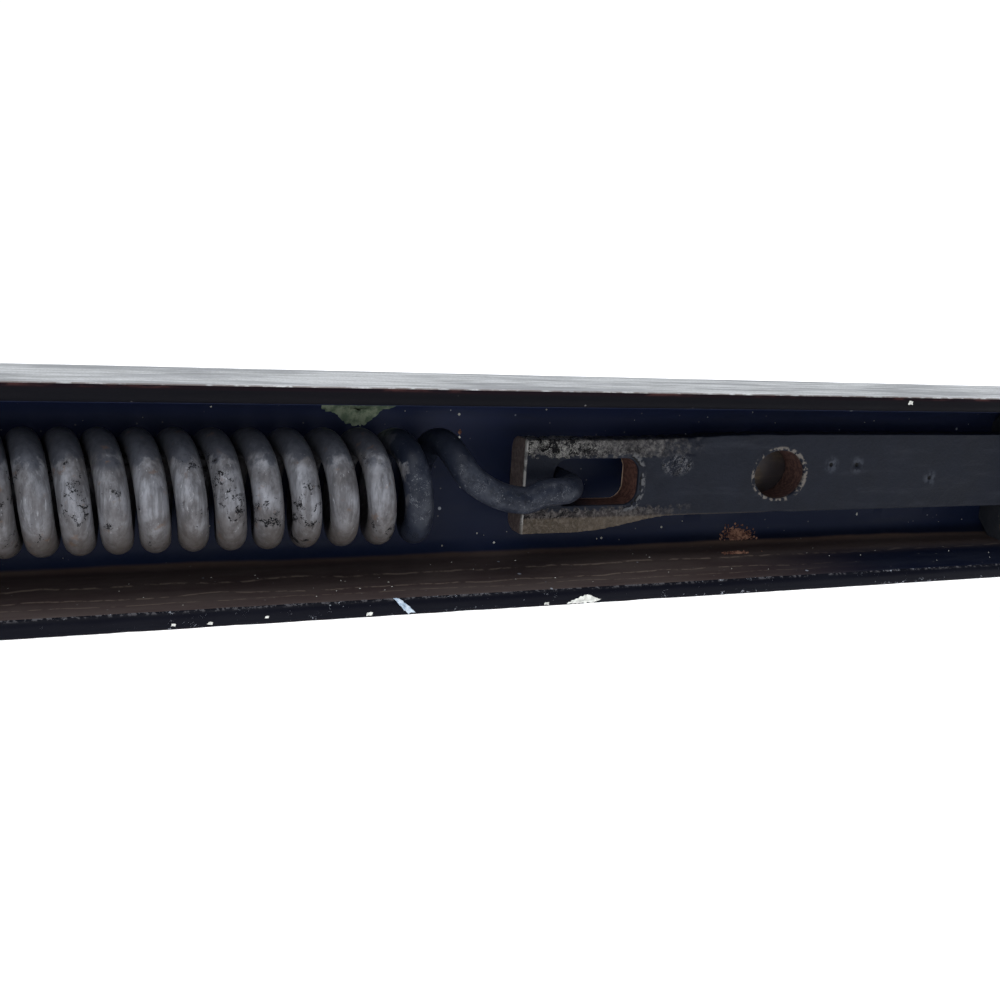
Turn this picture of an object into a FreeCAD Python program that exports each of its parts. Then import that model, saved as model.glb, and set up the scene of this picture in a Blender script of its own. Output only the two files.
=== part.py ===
import FreeCAD, Part
import math
import os

from FreeCAD import Vector

# Flush bolt in a rolled channel. X is the way the bolt is thrown, -Y is the open
# front of the channel and +Z is up. The origin is the middle of the web's back face.
# All sizes are in millimetres.

# Channel
CHANNEL_LENGTH = 600.0
CHANNEL_HEIGHT = 65.0
CHANNEL_DEPTH = 42.0
WEB = 5.5
FLANGE_TIP = 5.0
FLANGE_SLOPE = 0.08
ROOT_RADIUS = 6.0
TOE_RADIUS = 2.5

# Height of the working line, on which the spring, bar and nose lie
AXIS_Z = 1.5

# Draw bar, its slotted end spread taller than the rest
BAR_START = 25.0
BAR_HEIGHT = 26.7
BAR_RISE = 2.45
EYE_HEIGHT = 29.4
EYE_DROP = 0.7
EYE_TOP_LENGTH = 35.0
EYE_TOP_TAPER = 52.0
EYE_BOTTOM_LENGTH = 20.0
EYE_BOTTOM_TAPER = 35.0
BAR_THICKNESS = 11.0
BAR_CORNER = 4.5
SLOT_FROM_END = 10.2
SLOT_LENGTH = 29.8
SLOT_HEIGHT = 15.0
SLOT_RISE = 0.6
SLOT_CORNER = 5.0
DRIVE_HOLE_RADIUS = 9.0
DRIVE_HOLE_FROM_END = 94.7
DRIVE_HOLE_RISE = 2.1
TONGUE_LENGTH = 20.0
TONGUE_HEIGHT = 18.0

# Throw and nose
THROW = 25.0
NOSE_RADIUS = 11.0
NOSE_CHAMFER = 2.0
CROSS_PIN_RADIUS = 3.0
CROSS_PIN_PITCH = 11.0
STOP_PIN_RADIUS = 4.0
STOP_PIN_PROUD = 6.0

# Spring
WIRE_RADIUS = 4.15
COIL_RADIUS = 13.0
COIL_TURNS = 19
OPEN_PITCH = 11.2
CLOSE_PITCH = 9.0
PITCH_STEP = 0.2
COIL_END = -1.5
COIL_REACH = 2.5
COIL_REACH_SHARE = 0.6
SPRING_BACK_SPACE = 1.0
HOOK_TURN = 56.0
HOOK_LEAD = 3.0
HOOK_SLOPE = 0.433
HOOK_LEG_START = 22.5
HOOK_SAG = 2.4
HOOK_SET_IN = 0.33
HOOK_CLEARANCE = 1.3
RETURN_LEG = 6.0

# Anchor
ANCHOR_HEIGHT = 30.0
ANCHOR_THICKNESS = 11.0
ANCHOR_END_WALL = 10.0
ANCHOR_SLOT_LENGTH = 15.0
ANCHOR_NECK = 11.0
SHANK_RADIUS = 6.0
END_PLATE_THICKNESS = 8.0
END_PLATE_GAP = 14.0
WASHER_RADIUS = 12.0
WASHER_THICKNESS = 2.5
NUT_FLATS = 19.0
NUT_HEIGHT = 10.0
LOCK_NUT_HEIGHT = 6.0
SHANK_PROUD = 3.0

# Guide block and its screws
GUIDE_LENGTH = 24.0
GUIDE_FRONT = 8.0
GUIDE_SIDE_GAP = 0.3
SCREW_RADIUS = 2.5
SCREW_HEAD_RADIUS = 4.25
SCREW_HEAD_HEIGHT = 3.5
SCREW_SOCKET = 4.0
SCREW_SOCKET_DEPTH = 2.2
SCREW_WASHER_RADIUS = 4.9
SCREW_WASHER_THICKNESS = 1.0

# Slide pads behind the bar
PAD_LENGTH = 40.0
PAD_HEIGHT = 22.0
PAD_PLACES = (112.0, 195.0)
PAD_SCREW_PITCH = 24.0
PAD_SCREW_RADIUS = 2.5
PAD_SCREW_HEAD = 5.0
PAD_SCREW_DEPTH = 5.0

# Face plate
PLATE_HEIGHT = 110.0
PLATE_THICKNESS = 6.0
PLATE_CORNER = 5.0
PLATE_HOLE_RADIUS = 3.25
PLATE_SINK_RADIUS = 6.5
PLATE_HOLE_PITCH = 90.0
BUSH_WALL = 4.0
BUSH_LENGTH_INSIDE = 5.5
WELD_LEG = 4.0

# Fits
SLIDE_GAP = 0.1
FIT_GAP = 0.08
PRESS_GAP = 0.02
HOOK_GAP = 0.3

# Places worked out from the sizes
LEFT_END = -CHANNEL_LENGTH / 2
RIGHT_END = CHANNEL_LENGTH / 2
HALF_HEIGHT = CHANNEL_HEIGHT / 2
HOOK_ROOM = 2 * WIRE_RADIUS + HOOK_CLEARANCE
BUSH_ROOM = PRESS_GAP + BUSH_WALL + FIT_GAP + NOSE_RADIUS - BAR_THICKNESS / 2
BAR_BACK_Y = -(WEB + max(HOOK_ROOM, BUSH_ROOM))
BAR_FRONT_Y = BAR_BACK_Y - BAR_THICKNESS
BAR_MID_Y = (BAR_BACK_Y + BAR_FRONT_Y) / 2
SLOT_START = BAR_START + SLOT_FROM_END
DRIVE_HOLE_X = BAR_START + DRIVE_HOLE_FROM_END
BUSH_INNER_X = RIGHT_END - BUSH_LENGTH_INSIDE
PLATE_FRONT_X = RIGHT_END + PLATE_THICKNESS
SHOULDER_X = BUSH_INNER_X - THROW - SLIDE_GAP
NOSE_BACK_X = SHOULDER_X + HOOK_GAP
STOP_PIN_X = SHOULDER_X - 2 * STOP_PIN_RADIUS
GUIDE_RIGHT_X = STOP_PIN_X - STOP_PIN_RADIUS - FIT_GAP
GUIDE_LEFT_X = GUIDE_RIGHT_X - GUIDE_LENGTH
SPRING_Y = -(WEB + SPRING_BACK_SPACE + COIL_RADIUS + WIRE_RADIUS)
TURN_PITCHES = [max(CLOSE_PITCH, OPEN_PITCH - PITCH_STEP * n) for n in range(COIL_TURNS)]
COIL_START = COIL_END - COIL_REACH - sum(TURN_PITCHES)


def flange_gap(y):
    """Half the clear height between the flanges at depth y."""
    return HALF_HEIGHT - FLANGE_TIP - FLANGE_SLOPE * (y + CHANNEL_DEPTH)


def box(x0, x1, y0, y1, z0, z1):
    low = Vector(min(x0, x1), min(y0, y1), min(z0, z1))
    return Part.makeBox(abs(x1 - x0), abs(y1 - y0), abs(z1 - z0), low)


def rod_x(radius, x0, x1, y, z):
    return Part.makeCylinder(radius, x1 - x0, Vector(x0, y, z), Vector(1, 0, 0))


def rod_y(radius, y0, y1, x, z):
    return Part.makeCylinder(radius, y1 - y0, Vector(x, y0, z), Vector(0, 1, 0))


def prism_x(points, x0, x1):
    """Extrude a closed outline of (y, z) points from x0 to x1."""
    outline = [Vector(x0, y, z) for y, z in points]
    outline.append(outline[0])
    return Part.Face(Part.makePolygon(outline)).extrude(Vector(x1 - x0, 0, 0))


def edges_along(shape, axis, keep):
    """Straight edges along one axis whose middle point passes the test."""
    found = []
    for edge in shape.Edges:
        ends = [v.Point for v in edge.Vertexes]
        if len(ends) != 2 or edge.Curve.TypeId != "Part::GeomLine":
            continue
        run = ends[1] - ends[0]
        if abs(abs(run.dot(axis)) - run.Length) < 1e-6 and keep((ends[0] + ends[1]) * 0.5):
            found.append(edge)
    return found


def make_channel():
    root = flange_gap(-WEB)
    tip = flange_gap(-CHANNEL_DEPTH)
    upper = [(0, HALF_HEIGHT), (-CHANNEL_DEPTH, HALF_HEIGHT), (-CHANNEL_DEPTH, tip), (-WEB, root)]
    lower = [(y, -z) for y, z in reversed(upper)]
    body = prism_x(upper + lower, LEFT_END, RIGHT_END)
    x_axis = Vector(1, 0, 0)
    roots = edges_along(body, x_axis, lambda p: abs(p.y + WEB) < 0.01 and abs(p.z) < HALF_HEIGHT - 1)
    body = body.makeFillet(ROOT_RADIUS, roots)
    toes = edges_along(body, x_axis, lambda p: abs(p.y + CHANNEL_DEPTH) < 0.01 and abs(p.z) < tip + 0.01)
    body = body.makeFillet(TOE_RADIUS, toes)
    deep = -WEB - ROOT_RADIUS
    cuts = [rod_y(SCREW_RADIUS + PRESS_GAP, deep, 1, x, z) for x, z in guide_screw_places()]
    for x in pad_screw_places():
        cuts.append(rod_y(PAD_SCREW_RADIUS + FIT_GAP, -WEB - 1, 1, x, 0))
        cuts.append(sink_y(PAD_SCREW_RADIUS + FIT_GAP, PAD_SCREW_HEAD + FIT_GAP, x))
    return body.cut(cuts)


def sink_y(small, large, x):
    """Countersink cone in the back of the web."""
    return Part.makeCone(small, large, large - small, Vector(x, small - large, 0), Vector(0, 1, 0))


def guide_screw_places():
    middle = (GUIDE_LEFT_X + GUIDE_RIGHT_X) / 2
    half = BAR_HEIGHT / 2
    gap = flange_gap(-WEB)
    bar_z = AXIS_Z + BAR_RISE
    return [(middle, (bar_z + half + gap) / 2), (middle, (bar_z - half - gap) / 2)]


def pad_screw_places():
    return [x + s * PAD_SCREW_PITCH / 2 for x in PAD_PLACES for s in (-1, 1)]


def inner_outline(gap):
    """Outline that fills the channel's inside, its rear corners cut clear of the root."""
    tip = flange_gap(-CHANNEL_DEPTH + TOE_RADIUS) - gap
    cut = ROOT_RADIUS
    edge = flange_gap(-WEB - cut) - gap
    upper = [(-CHANNEL_DEPTH + TOE_RADIUS, tip), (-WEB - cut, edge), (-WEB - gap, edge - cut)]
    return upper + [(y, -z) for y, z in reversed(upper)]


def spring_path():
    """Wire centre lines: the coils' helix, the right hook's edges and the left hook's."""
    bar_faces = (BAR_FRONT_Y, BAR_BACK_Y)
    eye_faces = (SPRING_Y + ANCHOR_THICKNESS / 2, SPRING_Y - ANCHOR_THICKNESS / 2)
    front = SPRING_Y - COIL_RADIUS + HOOK_SET_IN
    back = SPRING_Y + COIL_RADIUS - HOOK_SET_IN
    behind_bar = (BAR_BACK_Y - WEB) / 2
    right = hook_edges(COIL_END, 1, (front, behind_bar), bar_faces, right_hook_tip(), TURN_PITCHES[0])
    left = hook_edges(COIL_START, -1, (back, front), eye_faces, left_hook_tip(), TURN_PITCHES[-1])
    x = COIL_END - COIL_REACH - TURN_PITCHES[0]
    right = last_half_turn(x + TURN_PITCHES[0] / 2) + right
    coils = [one_turn(x, TURN_PITCHES[0], 0.5)]
    for pitch in TURN_PITCHES[1:]:
        x -= pitch
        coils.append(one_turn(x, pitch))
    return coils, right, left


def one_turn(x, pitch, share=1.0):
    """Right-hand turn of the wire, or a share of one, from its top at x."""
    turn = Part.makeHelix(pitch, pitch * share, COIL_RADIUS)
    turn.rotate(Vector(0, 0, 0), Vector(0, 1, 0), 90)
    turn.rotate(Vector(0, 0, 0), Vector(1, 0, 0), 180)
    turn.translate(Vector(x, SPRING_Y, 0))
    return turn


def last_half_turn(x):
    """Rear half of the last turn, drawn out towards the hook by COIL_REACH."""
    steps = 4
    pull = 4 / 3 * math.tan(math.pi / steps / 4) * COIL_RADIUS
    places = []
    ways = []
    for i in range(steps + 1):
        share = i / steps
        angle = math.pi * share
        across = Vector(0, math.sin(angle), -math.cos(angle)) * COIL_RADIUS
        late = min(1.0, share / COIL_REACH_SHARE)
        reach = COIL_REACH * late * late * (3 - 2 * late)
        places.append(Vector(x + TURN_PITCHES[0] / 2 * share + reach, SPRING_Y, 0) + across)
        lead = TURN_PITCHES[0] / 2 + COIL_REACH * 6 * late * (1 - late) / COIL_REACH_SHARE
        way = Vector(lead / math.pi, COIL_RADIUS * math.cos(angle), COIL_RADIUS * math.sin(angle))
        ways.append(way.normalize())
    return [bend(places[i], ways[i], places[i + 1], ways[i + 1], pull, pull) for i in range(steps)]


def right_hook_tip():
    return SLOT_START + HOOK_GAP + WIRE_RADIUS


def left_hook_tip():
    return COIL_START - (right_hook_tip() - COIL_END)


def hook_edges(x_coil, way, legs, faces, tip, pitch):
    """Edges from a coil's top, along one leg, through a slot and back along the other leg.

    legs are the two legs' places in Y and faces are the slotted piece's faces that they
    pass. way is +1 for the right hook and -1 for the left one.
    """
    near_y, far_y = legs
    near_face, far_face = faces
    sign = 1 if near_y > SPRING_Y else -1
    turn = math.radians(HOOK_TURN)
    arc_length = COIL_RADIUS * turn
    top = Vector(x_coil, SPRING_Y, COIL_RADIUS)
    top_way = Vector(way * pitch / (2 * math.pi), sign * COIL_RADIUS, 0).normalize()
    side = Vector(
        x_coil + way * HOOK_LEAD,
        SPRING_Y + sign * COIL_RADIUS * math.sin(turn),
        COIL_RADIUS * math.cos(turn),
    )
    side_way = Vector(way * HOOK_SLOPE, sign * math.cos(turn), -math.sin(turn)).normalize()
    along = Vector(way, 0, 0)
    leg = Vector(x_coil + way * HOOK_LEG_START, near_y, -HOOK_SAG)
    near_radius = abs(near_y - near_face)
    far_radius = abs(far_y - far_face)
    near_turn = Vector(tip - way * near_radius, near_y, 0)
    near_in = Vector(tip, near_face, 0)
    far_in = Vector(tip, far_face, 0)
    far_turn = Vector(tip - way * far_radius, far_y, 0)
    return [
        bend(top, top_way, side, side_way, arc_length / 3, arc_length / 3),
        bend(side, side_way, leg, along, HOOK_LEG_START * 0.28, HOOK_LEG_START * 0.33),
        bend(leg, along, near_turn, along, (near_turn - leg).Length / 3, (near_turn - leg).Length / 3),
        quarter_turn(near_turn, near_in, Vector(near_turn.x, near_face, 0)),
        Part.makeLine(near_in, far_in),
        quarter_turn(far_in, far_turn, Vector(far_turn.x, far_face, 0)),
        Part.makeLine(far_turn, far_turn - Vector(way * RETURN_LEG, 0, 0)),
    ]


def bend(start, start_way, end, end_way, start_pull, end_pull):
    """Smooth curve between two points with a given direction at each."""
    curve = Part.BezierCurve()
    curve.setPoles([start, start + start_way * start_pull, end - end_way * end_pull, end])
    return curve.toShape()


def quarter_turn(start, end, centre):
    """Arc of a quarter circle about a centre."""
    outward = (start - centre) + (end - centre)
    radius = (start - centre).Length
    return Part.Arc(start, centre + outward.normalize() * radius, end).toShape()


def make_spring():
    coils, right, left = spring_path()
    turns = [turn.Edges[0] for turn in reversed(coils)]
    chain = list(reversed(left)) + turns + right
    path = Part.Wire(Part.__sortEdges__(chain))
    first = path.OrderedEdges[0]
    start = path.OrderedVertexes[0].Point
    tangent = first.tangentAt(first.FirstParameter)
    section = Part.Wire([Part.makeCircle(WIRE_RADIUS, start, tangent)])
    return path.makePipeShell([section], True, False)


def slotted_opening(x0, x1, y0, y1, middle=0):
    """Rounded slot that runs through a flat piece from front to back."""
    half = SLOT_HEIGHT / 2
    hole = box(x0, x1, y0, y1, middle - half, middle + half)
    corners = edges_along(hole, Vector(0, 1, 0), lambda p: True)
    return hole.makeFillet(SLOT_CORNER, corners)


def bar_edge(eye_z, bar_z, length, taper):
    """Edges along the bar's top or bottom, from its slotted end to its shoulder."""
    x0 = BAR_START + length
    x1 = x0 + taper
    y = BAR_BACK_Y
    flat = Part.makeLine(Vector(BAR_START, y, eye_z), Vector(x0, y, eye_z))
    way = Vector(1, 0, 0)
    swell = bend(Vector(x0, y, eye_z), way, Vector(x1, y, bar_z), way, taper / 3, taper / 3)
    return [flat, swell, Part.makeLine(Vector(x1, y, bar_z), Vector(SHOULDER_X, y, bar_z))]


def make_bar():
    eye_top = EYE_HEIGHT / 2 - EYE_DROP
    eye_bottom = eye_top - EYE_HEIGHT
    bar_top = BAR_HEIGHT / 2 + BAR_RISE
    bar_bottom = bar_top - BAR_HEIGHT
    outline = bar_edge(eye_top, bar_top, EYE_TOP_LENGTH, EYE_TOP_TAPER)
    outline += bar_edge(eye_bottom, bar_bottom, EYE_BOTTOM_LENGTH, EYE_BOTTOM_TAPER)
    for x, low, high in ((BAR_START, eye_bottom, eye_top), (SHOULDER_X, bar_bottom, bar_top)):
        outline.append(Part.makeLine(Vector(x, BAR_BACK_Y, low), Vector(x, BAR_BACK_Y, high)))
    face = Part.Face(Part.Wire(Part.__sortEdges__(outline)))
    body = face.extrude(Vector(0, -BAR_THICKNESS, 0))
    rear = [e for e in body.Edges if abs(e.CenterOfMass.y - BAR_BACK_Y) < 0.01]
    rear = [e for e in rear if BAR_START + 1 < e.CenterOfMass.x < SHOULDER_X - 1]
    body = body.makeFillet(BAR_CORNER, rear)
    tongue_half = TONGUE_HEIGHT / 2
    tongue_end = SHOULDER_X + TONGUE_LENGTH
    body = body.fuse(box(SHOULDER_X - 1, tongue_end, BAR_FRONT_Y, BAR_BACK_Y, -tongue_half, tongue_half))
    slot = slotted_opening(SLOT_START, SLOT_START + SLOT_LENGTH, BAR_FRONT_Y - 1, BAR_BACK_Y + 1, SLOT_RISE)
    hole = rod_y(DRIVE_HOLE_RADIUS, BAR_FRONT_Y - 1, BAR_BACK_Y + 1, DRIVE_HOLE_X, DRIVE_HOLE_RISE)
    cuts = [slot, hole, rod_y(STOP_PIN_RADIUS + PRESS_GAP, BAR_FRONT_Y - 1, BAR_BACK_Y + 1, STOP_PIN_X, 0)]
    for x in cross_pin_places():
        cuts.append(rod_y(CROSS_PIN_RADIUS + PRESS_GAP, BAR_FRONT_Y - 1, BAR_BACK_Y + 1, x, 0))
    return body.cut(cuts).removeSplitter()


def cross_pin_places():
    middle = NOSE_BACK_X + TONGUE_LENGTH / 2
    return [middle - CROSS_PIN_PITCH / 2, middle + CROSS_PIN_PITCH / 2]


def make_nose():
    body = rod_x(NOSE_RADIUS, NOSE_BACK_X, PLATE_FRONT_X, BAR_MID_Y, 0)
    circles = [e for e in body.Edges if e.Curve.TypeId == "Part::GeomCircle"]
    tip = [e for e in circles if e.CenterOfMass.x > PLATE_FRONT_X - 0.1]
    body = body.makeChamfer(NOSE_CHAMFER, tip)
    fork_end = SHOULDER_X + TONGUE_LENGTH + HOOK_GAP
    gap = SLIDE_GAP
    fork = box(NOSE_BACK_X - 1, fork_end, BAR_FRONT_Y - gap, BAR_BACK_Y + gap, -20, 20)
    cuts = [fork]
    for x in cross_pin_places():
        cuts.append(rod_y(CROSS_PIN_RADIUS + PRESS_GAP, BAR_MID_Y - 20, BAR_MID_Y + 20, x, 0))
    return body.cut(cuts)


def make_cross_pin(x):
    reach = math.sqrt(NOSE_RADIUS**2 - CROSS_PIN_RADIUS**2)
    return rod_y(CROSS_PIN_RADIUS, BAR_MID_Y - reach, BAR_MID_Y + reach, x, 0)


def make_stop_pin():
    return rod_y(STOP_PIN_RADIUS, BAR_FRONT_Y - STOP_PIN_PROUD, BAR_BACK_Y, STOP_PIN_X, 0)


def make_guide_block():
    front = BAR_FRONT_Y - GUIDE_FRONT
    body = prism_x(inner_outline(SLIDE_GAP), GUIDE_LEFT_X, GUIDE_RIGHT_X)
    body = body.cut(box(GUIDE_LEFT_X - 1, GUIDE_RIGHT_X + 1, -CHANNEL_DEPTH - 1, front, -40, 40))
    half = BAR_HEIGHT / 2 + GUIDE_SIDE_GAP
    y0 = BAR_FRONT_Y - SLIDE_GAP
    y1 = BAR_BACK_Y + SLIDE_GAP
    middle = AXIS_Z + BAR_RISE
    cuts = [box(GUIDE_LEFT_X - 1, GUIDE_RIGHT_X + 1, y0, y1, middle - half, middle + half)]
    for x, z in guide_screw_places():
        cuts.append(rod_y(SCREW_RADIUS + FIT_GAP, -CHANNEL_DEPTH, 0, x, z))
    return body.cut(cuts)


def make_guide_washer(x, z):
    front = BAR_FRONT_Y - GUIDE_FRONT
    back = front
    ring = rod_y(SCREW_WASHER_RADIUS, back - SCREW_WASHER_THICKNESS, back, x, z)
    return ring.cut(rod_y(SCREW_RADIUS + FIT_GAP, back - 5, back + 5, x, z))


def make_guide_screw(x, z):
    seat = BAR_FRONT_Y - GUIDE_FRONT - SCREW_WASHER_THICKNESS
    body = rod_y(SCREW_RADIUS, seat - 1, 0, x, z)
    top = seat - SCREW_HEAD_HEIGHT
    head = rod_y(SCREW_HEAD_RADIUS, top, seat, x, z)
    socket = hexagon_y(SCREW_SOCKET, top - 1, top + SCREW_SOCKET_DEPTH, x, z)
    return body.fuse(head).removeSplitter().cut(socket)


def hexagon_y(flats, y0, y1, x, z):
    corner = flats / math.sqrt(3)
    turns = [math.radians(60 * i) for i in range(7)]
    outline = [Vector(x + corner * math.cos(a), y0, z + corner * math.sin(a)) for a in turns]
    outline[-1] = outline[0]
    return Part.Face(Part.makePolygon(outline)).extrude(Vector(0, y1 - y0, 0))


def hexagon_x(flats, x0, x1, y, z):
    corner = flats / math.sqrt(3)
    turns = [math.radians(60 * i) for i in range(6)]
    return prism_x([(y + corner * math.cos(a), z + corner * math.sin(a)) for a in turns], x0, x1)


def make_pad(middle):
    half = PAD_HEIGHT / 2
    back = BAR_BACK_Y + SLIDE_GAP
    body = box(middle - PAD_LENGTH / 2, middle + PAD_LENGTH / 2, back, -WEB, -half, half)
    ends = edges_along(body, Vector(0, 0, 1), lambda p: p.y < -WEB - 1)
    body = body.makeChamfer(1.5, ends)
    cuts = []
    for x in (middle - PAD_SCREW_PITCH / 2, middle + PAD_SCREW_PITCH / 2):
        cuts.append(rod_y(PAD_SCREW_RADIUS + PRESS_GAP, -WEB - PAD_SCREW_DEPTH, 0, x, 0))
    return body.cut(cuts)


def make_pad_screw(x):
    body = rod_y(PAD_SCREW_RADIUS, -WEB - PAD_SCREW_DEPTH + 0.3, 0, x, 0)
    cone = sink_y(PAD_SCREW_RADIUS, PAD_SCREW_HEAD, x)
    recess = rod_y(1.6, -1.5, 1, x, 0)
    return body.fuse(cone).removeSplitter().cut(recess)


def anchor_places():
    """Right end of the eye, slot ends, left end of the neck."""
    slot_right = left_hook_tip() + WIRE_RADIUS + HOOK_GAP
    right = slot_right + ANCHOR_END_WALL
    slot_left = slot_right - ANCHOR_SLOT_LENGTH
    return right, slot_right, slot_left, slot_left - ANCHOR_NECK


def plate_places():
    neck = anchor_places()[3]
    return neck - END_PLATE_GAP - END_PLATE_THICKNESS, neck - END_PLATE_GAP


def make_anchor():
    right, slot_right, slot_left, neck = anchor_places()
    half = ANCHOR_HEIGHT / 2
    front = SPRING_Y - ANCHOR_THICKNESS / 2
    back = SPRING_Y + ANCHOR_THICKNESS / 2
    body = box(neck, right, front, back, -half, half)
    body = body.makeFillet(BAR_CORNER, edges_along(body, Vector(0, 1, 0), lambda p: True))
    plate_left = plate_places()[0]
    tip = plate_left - WASHER_THICKNESS - NUT_HEIGHT - LOCK_NUT_HEIGHT - SHANK_PROUD
    slope = 1.5
    shank = rod_x(SHANK_RADIUS, tip, neck + slope, SPRING_Y, 0)
    circles = [e for e in shank.Edges if e.Curve.TypeId == "Part::GeomCircle"]
    end_edge = [e for e in circles if e.CenterOfMass.x < tip + 0.1]
    shank = shank.makeChamfer(1.0, end_edge)
    body = body.fuse(shank).removeSplitter()
    return body.cut(slotted_opening(slot_left, slot_right, front - 1, back + 1))


def make_end_plate():
    left, right = plate_places()
    body = prism_x(inner_outline(SLIDE_GAP), left, right)
    return body.cut(rod_x(SHANK_RADIUS + FIT_GAP, left - 1, right + 1, SPRING_Y, AXIS_Z))


def make_anchor_washer():
    x = plate_places()[0]
    ring = rod_x(WASHER_RADIUS, x - WASHER_THICKNESS, x, SPRING_Y, 0)
    return ring.cut(rod_x(SHANK_RADIUS + FIT_GAP, x - 10, x + 1, SPRING_Y, 0))


def make_nut(x1, height):
    nut = hexagon_x(NUT_FLATS, x1 - height, x1, SPRING_Y, 0)
    corner = NUT_FLATS / math.sqrt(3)
    barrel = rod_x(corner, x1 - height, x1, SPRING_Y, 0)
    rims = [e for e in barrel.Edges if e.Curve.TypeId == "Part::GeomCircle"]
    nut = nut.common(barrel.makeChamfer(1.0, rims))
    return nut.cut(rod_x(SHANK_RADIUS + PRESS_GAP, x1 - height - 1, x1 + 1, SPRING_Y, 0))


def make_face_plate():
    half = PLATE_HEIGHT / 2
    body = box(RIGHT_END, PLATE_FRONT_X, -CHANNEL_DEPTH, 0, -half, half)
    body = body.makeFillet(PLATE_CORNER, edges_along(body, Vector(1, 0, 0), lambda p: True))
    bush_hole = NOSE_RADIUS + FIT_GAP + BUSH_WALL + PRESS_GAP
    cuts = [rod_x(bush_hole, RIGHT_END - 1, PLATE_FRONT_X + 1, BAR_MID_Y, AXIS_Z)]
    for z in (PLATE_HOLE_PITCH / 2, -PLATE_HOLE_PITCH / 2):
        cuts.append(rod_x(PLATE_HOLE_RADIUS, RIGHT_END - 1, PLATE_FRONT_X + 1, -CHANNEL_DEPTH / 2, z))
        deep = PLATE_SINK_RADIUS - PLATE_HOLE_RADIUS
        place = Vector(PLATE_FRONT_X - deep, -CHANNEL_DEPTH / 2, z)
        cuts.append(Part.makeCone(PLATE_HOLE_RADIUS, PLATE_SINK_RADIUS, deep, place, Vector(1, 0, 0)))
    return body.cut(cuts)


def make_bush():
    body = rod_x(NOSE_RADIUS + FIT_GAP + BUSH_WALL, BUSH_INNER_X, PLATE_FRONT_X, BAR_MID_Y, 0)
    return body.cut(rod_x(NOSE_RADIUS + FIT_GAP, BUSH_INNER_X - 1, PLATE_FRONT_X + 1, BAR_MID_Y, 0))


def make_weld(side):
    z = side * HALF_HEIGHT
    points = [Vector(RIGHT_END, 0, z), Vector(RIGHT_END - WELD_LEG, 0, z)]
    points.append(Vector(RIGHT_END, 0, z + side * WELD_LEG))
    points.append(points[0])
    bead = Part.Face(Part.makePolygon(points)).extrude(Vector(0, -(CHANNEL_DEPTH - 8), 0))
    bead.translate(Vector(0, -4, 0))
    return bead


def nodes_on_axis():
    """Pieces made about z = 0 that belong on the working line."""
    nut_seat = plate_places()[0] - WASHER_THICKNESS
    nodes = {
        "spring": make_spring(),
        "draw_bar": make_bar(),
        "bolt_nose": make_nose(),
        "stop_pin": make_stop_pin(),
        "anchor_eye": make_anchor(),
        "anchor_washer": make_anchor_washer(),
        "adjusting_nut": make_nut(nut_seat, NUT_HEIGHT),
        "lock_nut": make_nut(nut_seat - NUT_HEIGHT, LOCK_NUT_HEIGHT),
        "guide_bush": make_bush(),
    }
    for name, x in zip(("left", "right"), cross_pin_places()):
        nodes["cross_pin_" + name] = make_cross_pin(x)
    return nodes


def nodes_in_place():
    nodes = {
        "channel": make_channel(),
        "guide_block": make_guide_block(),
        "end_plate": make_end_plate(),
        "face_plate": make_face_plate(),
        "weld_top": make_weld(1),
        "weld_bottom": make_weld(-1),
    }
    for name, place in zip(("top", "bottom"), guide_screw_places()):
        nodes["guide_washer_" + name] = make_guide_washer(*place)
        nodes["guide_screw_" + name] = make_guide_screw(*place)
    for name, x in zip(("left", "right"), PAD_PLACES):
        nodes["slide_pad_" + name] = make_pad(x)
    for number, x in enumerate(pad_screw_places(), 1):
        nodes["pad_screw_%d" % number] = make_pad_screw(x)
    return nodes


def build():
    nodes = nodes_on_axis()
    for shape in nodes.values():
        shape.translate(Vector(0, 0, AXIS_Z))
    nodes.update(nodes_in_place())
    return nodes


os.makedirs("parts", exist_ok=True)
for node, shape in build().items():
    solid = shape.Solids[0] if len(shape.Solids) == 1 else shape
    solid.exportStep("parts/" + node + ".step")
    found = (node, len(shape.Solids), shape.isValid(), shape.Volume)
    print("%-22s solids %d  valid %s  volume %.0f" % found)
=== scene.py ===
import math
import random

import bpy
import numpy as np
from mathutils import Matrix, Vector, noise


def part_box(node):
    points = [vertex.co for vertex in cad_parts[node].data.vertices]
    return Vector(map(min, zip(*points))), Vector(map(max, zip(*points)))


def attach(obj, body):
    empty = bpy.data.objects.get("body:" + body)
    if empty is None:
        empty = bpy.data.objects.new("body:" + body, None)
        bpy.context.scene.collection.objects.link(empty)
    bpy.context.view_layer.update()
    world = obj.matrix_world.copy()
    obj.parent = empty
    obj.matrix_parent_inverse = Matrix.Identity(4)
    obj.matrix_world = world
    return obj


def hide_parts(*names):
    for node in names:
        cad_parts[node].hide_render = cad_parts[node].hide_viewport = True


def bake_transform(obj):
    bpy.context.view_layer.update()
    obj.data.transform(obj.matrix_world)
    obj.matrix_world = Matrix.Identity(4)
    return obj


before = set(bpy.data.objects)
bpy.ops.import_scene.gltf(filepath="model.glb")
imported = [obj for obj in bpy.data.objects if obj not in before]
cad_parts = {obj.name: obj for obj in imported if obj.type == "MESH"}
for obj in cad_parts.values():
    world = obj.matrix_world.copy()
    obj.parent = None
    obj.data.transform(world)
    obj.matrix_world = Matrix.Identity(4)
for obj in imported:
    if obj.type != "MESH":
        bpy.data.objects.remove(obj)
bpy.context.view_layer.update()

# ---------------------------------------------------------------------------
# View. A camera held close in front of the trough, a little above it and to the
# left of the hook, so that both ends of the bolt run out of view.
# ---------------------------------------------------------------------------
MM = 0.001
EYE = Vector((-119.6, -339.6, 68.1)) * MM
VIEW_TURN = math.radians(23.61)
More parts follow.
